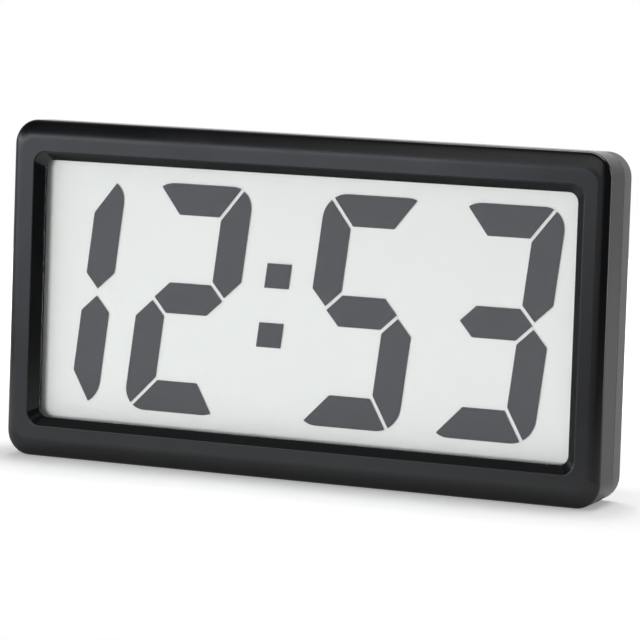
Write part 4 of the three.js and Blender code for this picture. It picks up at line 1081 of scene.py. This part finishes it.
class CLOCK_OT_battery_door(bpy.types.Operator):
    """Build the sliding battery door, with its tongues and grip ribs"""

    bl_idname = "clock.battery_door"
    bl_label = "Battery door"

    def execute(self, context):
        cover = context.scene.clock_cover
        well = well_limits(cover)
        bottom = well["bottom"]
        inner = well["inner"]
        middle = DEPTH - cover.door_thickness / 2
        outline = rounded([
            (inner, bottom, 0),
            (DEPTH, bottom, cover.door_edge),
            (DEPTH, panel_height(cover, DEPTH), cover.panel_edge),
            (inner, panel_height(cover, inner), 0),
        ])
        across = about(0, well["door_half"])
        mesh = softened(prism(outline, across), cover.door_edge)
        tongue_back = inner - FIT_GAP
        tongue_front = tongue_back - cover.door_tongue_depth
        heights = (bottom + cover.door_web, well["top"])
        webs, tongues, ribs = [], [], []
        for side in SIDES:
            near = well["door_half"] - cover.door_web
            webs.append(block(on_side(side, near, well["door_half"]), (tongue_front, middle), heights))
            reach = on_side(side, near, well["door_half"] + cover.door_tongue)
            tongues.append(block(reach, (tongue_front, tongue_back), heights))
        rib_axis = span("battery_door")[1].y - cover.grip_radius
        rib = round_bar(cover.grip_radius, about(0, cover.grip_length / 2), cover.grip_edge, GRIP_CORE)
        first_rib = panel_height(cover, DEPTH) - cover.panel_edge - cover.grip_drop
        for i in range(cover.grip_count):
            ribs.append(barred((rib_axis, first_rib - i * cover.grip_pitch), rib, SMALL_SIDES))
        sill = prism([
            (tongue_front, well["top"]),
            (middle, well["top"]),
            (middle, panel_height(cover, middle)),
            (tongue_front, panel_height(cover, tongue_front)),
        ], across)
        mesh = combined(mesh, webs + ribs, "UNION")
        mesh = combined(mesh, tongues, "UNION")
        mesh = combined(mesh, [sill], "UNION")
        piece("door_shell", mesh, [eroded_abs(cover)], "door", ["battery_door"])
        return {"FINISHED"}


class CLOCK_OT_foot(bpy.types.Operator):
    """Build the fold-out foot on its hinge barrel"""

    bl_idname = "clock.foot"
    bl_label = "Fold-out foot"

    def execute(self, context):
        cover = context.scene.clock_cover
        low, high = (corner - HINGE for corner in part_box("stand_foot"))
        half = high.x
        ground = low.z
        notch = Vector((0, high.y + cover.foot_notch - cover.foot_notch_depth))
        reach = math.acos((cover.foot_notch - cover.foot_notch_depth) / cover.foot_notch)
        bite = []
        for step in range(2 * EDGE_ARC_STEPS + 1):
            turn = reach * (1 - step / EDGE_ARC_STEPS)
            bite.append(notch + cover.foot_notch * Vector((math.sin(turn), -math.cos(turn))))
        outline = rounded([
            (-half, high.y, cover.foot_corner),
            (-half, -cover.foot_root, 0),
            (half, -cover.foot_root, 0),
            (half, high.y, cover.foot_corner),
        ], EDGE_ARC_STEPS) + bite
        heights = (ground, ground + cover.foot_thickness)
        mesh = softened(loft([[Vector((x, y, z)) for x, y in outline] for z in heights]), cover.foot_edge)
        barrel = round_bar(cover.barrel_radius, about(0, half), cover.lug_edge)
        mesh = combined(mesh, [barred((0, 0), barrel)], "UNION")
        far = high.y - cover.foot_notch_depth - cover.foot_border
        near = cover.barrel_radius + cover.pocket_start
        hollow = pocket(about(0, half - cover.foot_border), (near, far), cover.pocket_corner,
                        heights[1] - cover.foot_pocket, cover.mouth, heights[1])
        # A pocket is drawn with its depth along Y, and the lying foot's runs along Z
        depth_to_height = Matrix(((1, 0, 0, 0), (0, 0, 1, 0), (0, 1, 0, 0), (0, 0, 0, 1)))
        hollow.transform(depth_to_height)
        bmesh.ops.recalc_face_normals(hollow, faces=hollow.faces)
        mesh = combined(mesh, [hollow], "DIFFERENCE")
        mesh = combined(mesh, [pin_bore(cover, (0, 0), half)], "DIFFERENCE")
        place = Matrix.Translation(HINGE)
        piece("foot_shell", mesh, [eroded_abs(cover)], "foot", ["stand_foot"], place)
        dress(bright_steel(), "stand_hinge_pin")
        return {"FINISHED"}


class CLOCK_OT_buttons(bpy.types.Operator):
    """Build the three set buttons"""

    bl_idname = "clock.buttons"
    bl_label = "Set buttons"

    def execute(self, context):
        fittings = context.scene.clock_fittings
        cover = context.scene.clock_cover
        settings = {"grain": 0.2, "relief": 0.004, "roughness": 0.42}
        plastic = moulded_plastic("abs_fine_matt_moulded", linear(0x1A1B1D), **settings)
        for i, node in enumerate(BUTTONS):
            low, high = span(node)
            flange_radius = radius_of(node)
            flange_back = DEPTH - cover.wall - FIT_GAP
            flange_front = flange_back - fittings.button_flange
            dish = fittings.button_radius - fittings.button_rim
            profile = rounded([
                (fittings.button_stem, low.y, 0),
                (fittings.button_stem, flange_front, 0),
                (flange_radius, flange_front, 0),
                (flange_radius, flange_back, 0),
                (fittings.button_radius, flange_back, 0),
                (fittings.button_radius, high.y, fittings.button_edge),
                (dish, high.y, 0),
            ])
            for step in range(1, EDGE_STEPS):
                share = 1 - step / EDGE_STEPS
                profile.append((dish * share, high.y - fittings.button_dish * (1 - share * share)))
            mesh = turned(centre(node), profile)
            piece(f"button_cap_{i + 1}", mesh, [plastic], f"button_{i + 1}", [node])
        return {"FINISHED"}


class CLOCK_OT_magnets(bpy.types.Operator):
    """Build the four disc magnets"""

    bl_idname = "clock.magnets"
    bl_label = "Magnets"

    def execute(self, context):
        fittings = context.scene.clock_fittings
        for i, node in enumerate(MAGNETS):
            low, high = span(node)
            radius = radius_of(node)
            edge = fittings.magnet_edge
            mesh = turned(centre(node), round_bar(radius, (low.y, high.y), edge, radius - 2 * edge))
            piece(f"magnet_disc_{i + 1}", mesh, [nickel_plate()], "case", [node])
        return {"FINISHED"}


class CLOCK_OT_screws(bpy.types.Operator):
    """Build the four case screws with their cross recesses, and finish the holder screws"""

    bl_idname = "clock.screws"
    bl_label = "Screws"

    def execute(self, context):
        fittings = context.scene.clock_fittings
        for i, node in enumerate(CASE_SCREWS):
            low, high = span(node)
            x, z = centre(node)
            head = radius_of(node)
            seat = high.y - fittings.screw_head
            profile = rounded([
                (fittings.screw_tip, low.y, 0),
                (fittings.screw_radius, low.y + fittings.screw_radius, 0),
                (fittings.screw_radius, seat, 0),
                (head, seat, fittings.screw_under),
                (head, high.y, fittings.screw_edge),
                (SCREW_CORE, high.y, 0),
            ])
            mesh = turned((x, z), profile)
            depths = (high.y - fittings.cross_depth, high.y + CUT_PAST)
            long, narrow = fittings.cross_length / 2, fittings.cross_width / 2
            for half_x, half_z in ((long, narrow), (narrow, long)):
                mesh = combined(mesh, [block(about(x, half_x), depths, about(z, half_z))], "DIFFERENCE")
            piece(f"case_screw_head_{i + 1}", mesh, [dark_steel()], "case", [node])
        dress(dark_steel(), *HOLDER_SCREWS)
        return {"FINISHED"}


class CLOCK_OT_battery(bpy.types.Operator):
    """Build the cell and its spring, and finish the contacts and leads"""

    bl_idname = "clock.battery"
    bl_label = "Battery"

    def execute(self, context):
        fittings = context.scene.clock_fittings
        low, high = span("battery_cell")
        axis = ((low.y + high.y) / 2, (low.z + high.z) / 2)
        radius = (high.y - low.y) / 2
        shoulder = high.x - fittings.nub_length
        profile = rounded([
            (radius / 2, low.x, 0),
            (radius, low.x, fittings.cell_edge),
            (radius, shoulder, fittings.cell_edge),
            (fittings.nub_radius, shoulder, 0),
            (fittings.nub_radius, high.x, fittings.nub_edge),
            (fittings.nub_radius / 2, high.x, 0),
        ])
        mesh = barred(axis, profile)
        for face in mesh.faces:
            middle = face.calc_center_median()
            out = math.hypot(middle.y - axis[0], middle.z - axis[1])
            face.material_index = int(out < radius - fittings.sleeve_lap)
        piece("cell_body", mesh, [shrink_sleeve(), nickel_plate()], "case", ["battery_cell"])
        coil = self.coil(fittings, axis)
        piece("spring_coil", coil, [bright_steel()], "case", ["battery_spring"])
        dress(nickel_plate(), "contact_plate_positive", "contact_plate_negative")
        settings = {"grain": 0.3, "relief": 0.004, "roughness": 0.4}
        dress(moulded_plastic("pvc_red_extruded", linear(0xA8251F), **settings), "battery_lead_positive")
        dress(moulded_plastic("pvc_black_extruded", linear(0x1B1B1B), **settings), "battery_lead_negative")
        return {"FINISHED"}

    def coil(self, fittings, axis):
        """A coned spring as one tube along a helix about the cell's axis."""
        low, high = span("battery_spring")
        wire = fittings.spring_wire
        steps = fittings.spring_turns * TURN_STEPS
        along = Vector((1, 0, 0))
        rings = []
        for step in range(steps + 1):
            share = step / steps
            turn = 2 * math.pi * fittings.spring_turns * share
            radius = fittings.spring_wide + (fittings.spring_narrow - fittings.spring_wide) * share
            x = low.x + wire + (high.x - low.x - 2 * wire) * share
            outward = Vector((0, math.cos(turn), math.sin(turn)))
            middle = Vector((x, axis[0], axis[1])) + radius * outward
            rings.append([middle + wire * (u * outward + v * along) for u, v in circle(WIRE_SIDES)])
        return loft(rings)


# Segments of each figure: A above, B and C at the right, D below, E and F at the left, G in the middle
FIGURES = ("ABCDEF", "BC", "ABDEG", "ABCDG", "BCFG", "ACDFG", "ACDEFG", "ABC", "ABCDEFG", "ABCDFG")
# Run of the mitres between level and upright segments, for each side of a digit
MITRE_RUN = {-1: 0.9, 1: 0.7}


def clipped(points, at, normal):
    """The part of a convex outline on the normal's side of a line."""
    kept = []
    for here, after in zip(points, points[1:] + points[:1]):
        near, far = ((p - at).dot(normal) for p in (here, after))
        if near >= 0:
            kept.append(here)
        if near * far < 0:
            kept.append(here.lerp(after, near / (near - far)))
    return kept


def segment_outline(display, letter):
    """A segment's outline about the digit's middle, before the digit leans."""
    half = display.digit_width / 2
    tall = display.digit_height / 2
    inner = half - display.upright
    lower = tall - display.level
    corners = ((half, tall), (-half, tall), (-half, -tall), (half, -tall))
    outline = rounded([(u, v, display.digit_corner) for u, v in corners], EDGE_ARC_STEPS)
    if letter == "G":
        for up in SIDES:
            outline = clipped(outline, Vector((0, up * display.bar / 2)), Vector((0, -up)))
            for side in SIDES:
                outline = clipped(outline, Vector((side * display.bar_reach, 0)), Vector((-side, -up)))
        return outline
    if letter in "AD":
        up = 1 if letter == "A" else -1
        outline = clipped(outline, Vector((0, up * lower)), Vector((0, up)))
        mitres = [(side, up, -1) for side in SIDES]
    else:
        up = 1 if letter in "BF" else -1
        side = 1 if letter in "BC" else -1
        outline = clipped(outline, Vector((side * inner, 0)), Vector((side, 0)))
        clear = display.bar_reach + math.sqrt(2) * display.gap
        outline = clipped(outline, Vector((side * clear, 0)), Vector((side, up)))
        outline = clipped(outline, Vector((side * display.tip_reach, 0)), Vector((-side, up)))
        mitres = [(side, up, 1)]
    for side, up, outer in mitres:
        across = Vector((side, -up * MITRE_RUN[side])).normalized() * outer
        start = Vector((side * inner, up * lower)) + across * display.gap / 2
        outline = clipped(outline, start, across)
    return outline


class CLOCK_OT_display(bpy.types.Operator):
    """Build the display's dark segments, and finish the film, glass and reflector"""

    bl_idname = "clock.display"
    bl_label = "Display"

    def execute(self, context):
        display = context.scene.clock_display
        lean = math.tan(display.slant)
        middle = HEIGHT / 2 - display.drop
        # Just in front of the reflector, where glass makes the segments of a thin display seem to lie
        end = span("lcd_reflector")[0].y - display.behind
        depths = (end - display.thickness, end)
        segments = []
        for across, outline in self.outlines(display):
            rings = [[Vector((across + u + lean * v, y, middle + v)) for u, v in outline] for y in depths]
            segments.append(loft(rings))
        mesh = gathered(segments)
        piece("display_segments", mesh, [dark_segments(display.segment)], "case")
        dress(polariser_film(), "lcd_front_polariser")
        dress(float_glass(), "lcd_front_glass", "lcd_rear_glass")
        dress(reflector_film(display.reflector), "lcd_reflector")
        # Light reaches the reflector through the clear layers and leaves it the same way
        for node in ("lcd_front_polariser", "lcd_front_glass", "lcd_rear_glass"):
            frame["nodes"][node].visible_shadow = False
            frame["nodes"][node].visible_diffuse = False
        return {"FINISHED"}

    def outlines(self, display):
        """Each dark shape's outline and the middle that it stands about."""
        colon = -display.shift_left
        shown = []
        for pair, value in ((-1, display.hour), (1, display.minute)):
            for place, figure in ((-1, value // 10), (1, value % 10)):
                across = colon + pair * display.pair_pitch / 2 + place * display.digit_pitch / 2
                shown += [(across, segment_outline(display, letter)) for letter in FIGURES[figure]]
        half = display.dot_width / 2
        for up in SIDES:
            heights = about(up * display.dot_rise, display.dot_height / 2)
            corners = [(-half, heights[0]), (half, heights[0]), (half, heights[1]), (-half, heights[1])]
            shown.append((colon, [Vector(corner) for corner in corners]))
        return shown


class CLOCK_OT_inside(bpy.types.Operator):
    """Finish the pieces inside the case"""

    bl_idname = "clock.inside"
    bl_label = "Inside"

    def execute(self, context):
        matt = {"grain": 0.3, "relief": 0.004, "roughness": 0.5}
        smooth = {"grain": 2.0, "relief": 0.02, "roughness": 0.3}
        styrene = moulded_plastic("styrene_white_moulded", linear(0xE2E2DC), **matt)
        epoxy = moulded_plastic("epoxy_black_dispensed", linear(0x131314), **smooth)
        dress(styrene, "lcd_holder")
        dress(contact_elastomer(), "zebra_strip")
        dress(board_laminate(), "circuit_board")
        dress(epoxy, "controller_blob")
        dress(bright_steel(), "quartz_crystal")
        dress(dark_steel(), *SWITCHES)
        return {"FINISHED"}


class CLOCK_OT_stage(bpy.types.Operator):
    """Set the floor, the light and the camera"""

    bl_idname = "clock.stage"
    bl_label = "Stage"

    def execute(self, context):
        stage = context.scene.clock_stage
        scene = context.scene
        scene.view_settings.view_transform = "Standard"
        half = stage.floor_size / 2
        ground = Vector(CAD_BOX[0]).z - FLOOR_GAP
        data = bpy.data.meshes.new("floor")
        front, back = about(stage.floor_back, half)
        corners = [(-half, front, ground), (half, front, ground), (half, back, ground), (-half, back, ground)]
        data.from_pydata(corners, [], [(0, 1, 2, 3)])
        data.materials.append(paper_floor(stage))
        floor = bpy.data.objects.new("floor", data)
        scene.collection.objects.link(floor)
        scene.world = self.sky(stage)
        self.lights(stage)
        scene.camera = self.camera(stage)
        return {"FINISHED"}

    def lights(self, stage):
        """Softboxes and a fill that light the clock, and cards that show only in its gloss."""
        cool = stage.light
        self.lamp("key_softbox", stage.key, size=(0.89, 0.24), place=(-0.569, -0.466, 0.11), tint=cool)
        self.lamp("key_band", stage.band, size=(0.89, 0.06), place=(-0.569, -0.466, 0.17), tint=cool)
        self.lamp("upper_card", stage.upper, size=(0.7, 0.5), place=(-0.1, -0.85, 0.5), lights=False)
        self.lamp("over_card", stage.over, size=(0.5, 0.4), place=(-0.35, -0.11, 0.69), lights=False)
        self.lamp("front_card", stage.front, size=(0.75, 0.16), place=(0.03, -0.9, 0.1), lights=False)
        self.lamp("front_fill", stage.fill, size=(0.6, 0.4), place=(-0.1, -1.57, 0.06), mirrored=False)
        self.lamp("top_softbox", stage.top, size=(0.9, 0.3), place=(0.05, 0.2, 0.85))
        self.lamp("side_card", stage.side, size=(0.6, 0.8), place=(1.0, 0.47, 0.2), lights=False)

    def sky(self, stage):
        """White behind the clock and for the camera, dim in front for reflections, and an even fill."""
        world = bpy.data.worlds.new("studio")
        world.use_nodes = True
        tree = world.node_tree
        tree.nodes.clear()
        direction = add(tree, "ShaderNodeTexCoord").outputs["Generated"]
        backward = (-math.sin(stage.azimuth), math.cos(stage.azimuth), 0)
        along = add(tree, "ShaderNodeVectorMath", {0: direction, 1: backward}, operation="DOT_PRODUCT")
        wall = add(tree, "ShaderNodeMapRange",
                   {"Value": along.outputs["Value"], "From Min": stage.sky_turn, "From Max": 1.0,
                    "To Min": stage.sky_front, "To Max": 1.0}, interpolation_type="SMOOTHSTEP")
        ray = add(tree, "ShaderNodeLightPath")
        mirrored = add(tree, "ShaderNodeMix",
                       {0: ray.outputs["Is Glossy Ray"], 2: stage.sky_fill, 3: wall.outputs[0]})
        seen = add(tree, "ShaderNodeMath",
                   {0: ray.outputs["Is Camera Ray"], 1: ray.outputs["Is Transmission Ray"]},
                   operation="MAXIMUM")
        strength = add(tree, "ShaderNodeMix", {0: seen.outputs[0], 2: mirrored.outputs[0], 3: 1.0})
        sky = add(tree, "ShaderNodeBackground", {"Color": (1, 1, 1, 1), "Strength": strength.outputs[0]})
        add(tree, "ShaderNodeOutputWorld", {"Surface": sky.outputs[0]})
        return world

    def lamp(self, name, power, size, place, tint=(1, 1, 1), mirrored=True, lights=True):
        """A rectangular softbox aimed at the clock, which shows in reflections, lights surfaces or both."""
        data = bpy.data.lights.new(name, "AREA")
        data.shape = "RECTANGLE"
        data.size, data.size_y = size
        data.energy = power
        data.color = tint[:3]
        light = bpy.data.objects.new(name, data)
        light.location = place
        target = CASE @ Vector((0, 0, HEIGHT / 2))
        light.rotation_euler = (target - Vector(place)).to_track_quat("-Z", "Y").to_euler()
        light.visible_camera = False
        light.visible_glossy = mirrored
        light.visible_diffuse = lights
        bpy.context.scene.collection.objects.link(light)

    def camera(self, stage):
        """The photograph's view, about the middle of the face."""
        pivot = CASE @ Vector((0, 0, HEIGHT / 2))
        turn, rise = stage.azimuth, stage.elevation
        level = math.cos(rise)
        back = Vector((math.sin(turn) * level, -math.cos(turn) * level, math.sin(rise)))
        right = Vector((math.cos(turn), math.sin(turn), 0))
        up = back.cross(right)
        data = bpy.data.cameras.new("camera")
        data.sensor_width = SENSOR_WIDTH
        data.lens = stage.focal_pixels * SENSOR_WIDTH / IMAGE_PIXELS
        data.clip_end = CAMERA_REACH
        camera = bpy.data.objects.new("camera", data)
        camera.location = pivot + back * stage.distance
        aim = pivot + right * stage.aim_right - up * stage.aim_down
        camera.rotation_euler = (aim - camera.location).to_track_quat("-Z", "Y").to_euler()
        bpy.context.scene.collection.objects.link(camera)
        return camera


GROUPS = {
    "clock_bezel": ClockBezel,
    "clock_cover": ClockCover,
    "clock_display": ClockDisplay,
    "clock_fittings": ClockFittings,
    "clock_stage": ClockStage,
}
OPERATORS = (
    CLOCK_OT_bezel,
    CLOCK_OT_rear_cover,
    CLOCK_OT_battery_door,
    CLOCK_OT_foot,
    CLOCK_OT_buttons,
    CLOCK_OT_magnets,
    CLOCK_OT_screws,
    CLOCK_OT_battery,
    CLOCK_OT_display,
    CLOCK_OT_inside,
    CLOCK_OT_stage,
)


class CLOCK_PT_sidebar(bpy.types.Panel):
    """The clock's pieces and settings"""

    bl_idname = "CLOCK_PT_sidebar"
    bl_label = "Clock"
    bl_space_type = "VIEW_3D"
    bl_region_type = "UI"
    bl_category = "Clock"

    def draw(self, context):
        for operator in OPERATORS:
            self.layout.operator(operator.bl_idname)
        for name, group in GROUPS.items():
            box = self.layout.box()
            box.label(text=group.__doc__)
            for setting in group.__annotations__:
                box.prop(getattr(context.scene, name), setting)


def register():
    for name, group in GROUPS.items():
        bpy.utils.register_class(group)
        setattr(bpy.types.Scene, name, PointerProperty(type=group))
    for item in (*OPERATORS, CLOCK_PT_sidebar):
        bpy.utils.register_class(item)


def unregister():
    for item in (CLOCK_PT_sidebar, *reversed(OPERATORS)):
        bpy.utils.unregister_class(item)
    for name, group in reversed(GROUPS.items()):
        delattr(bpy.types.Scene, name)
        bpy.utils.unregister_class(group)


def main():
    register()
    bpy.ops.clock.bezel()
    bpy.ops.clock.rear_cover()
    bpy.ops.clock.battery_door()
    bpy.ops.clock.foot()
    bpy.ops.clock.buttons()
    bpy.ops.clock.magnets()
    bpy.ops.clock.screws()
    bpy.ops.clock.battery()
    bpy.ops.clock.display()
    bpy.ops.clock.inside()
    bpy.ops.clock.stage()


if __name__ == "__main__":
    main()
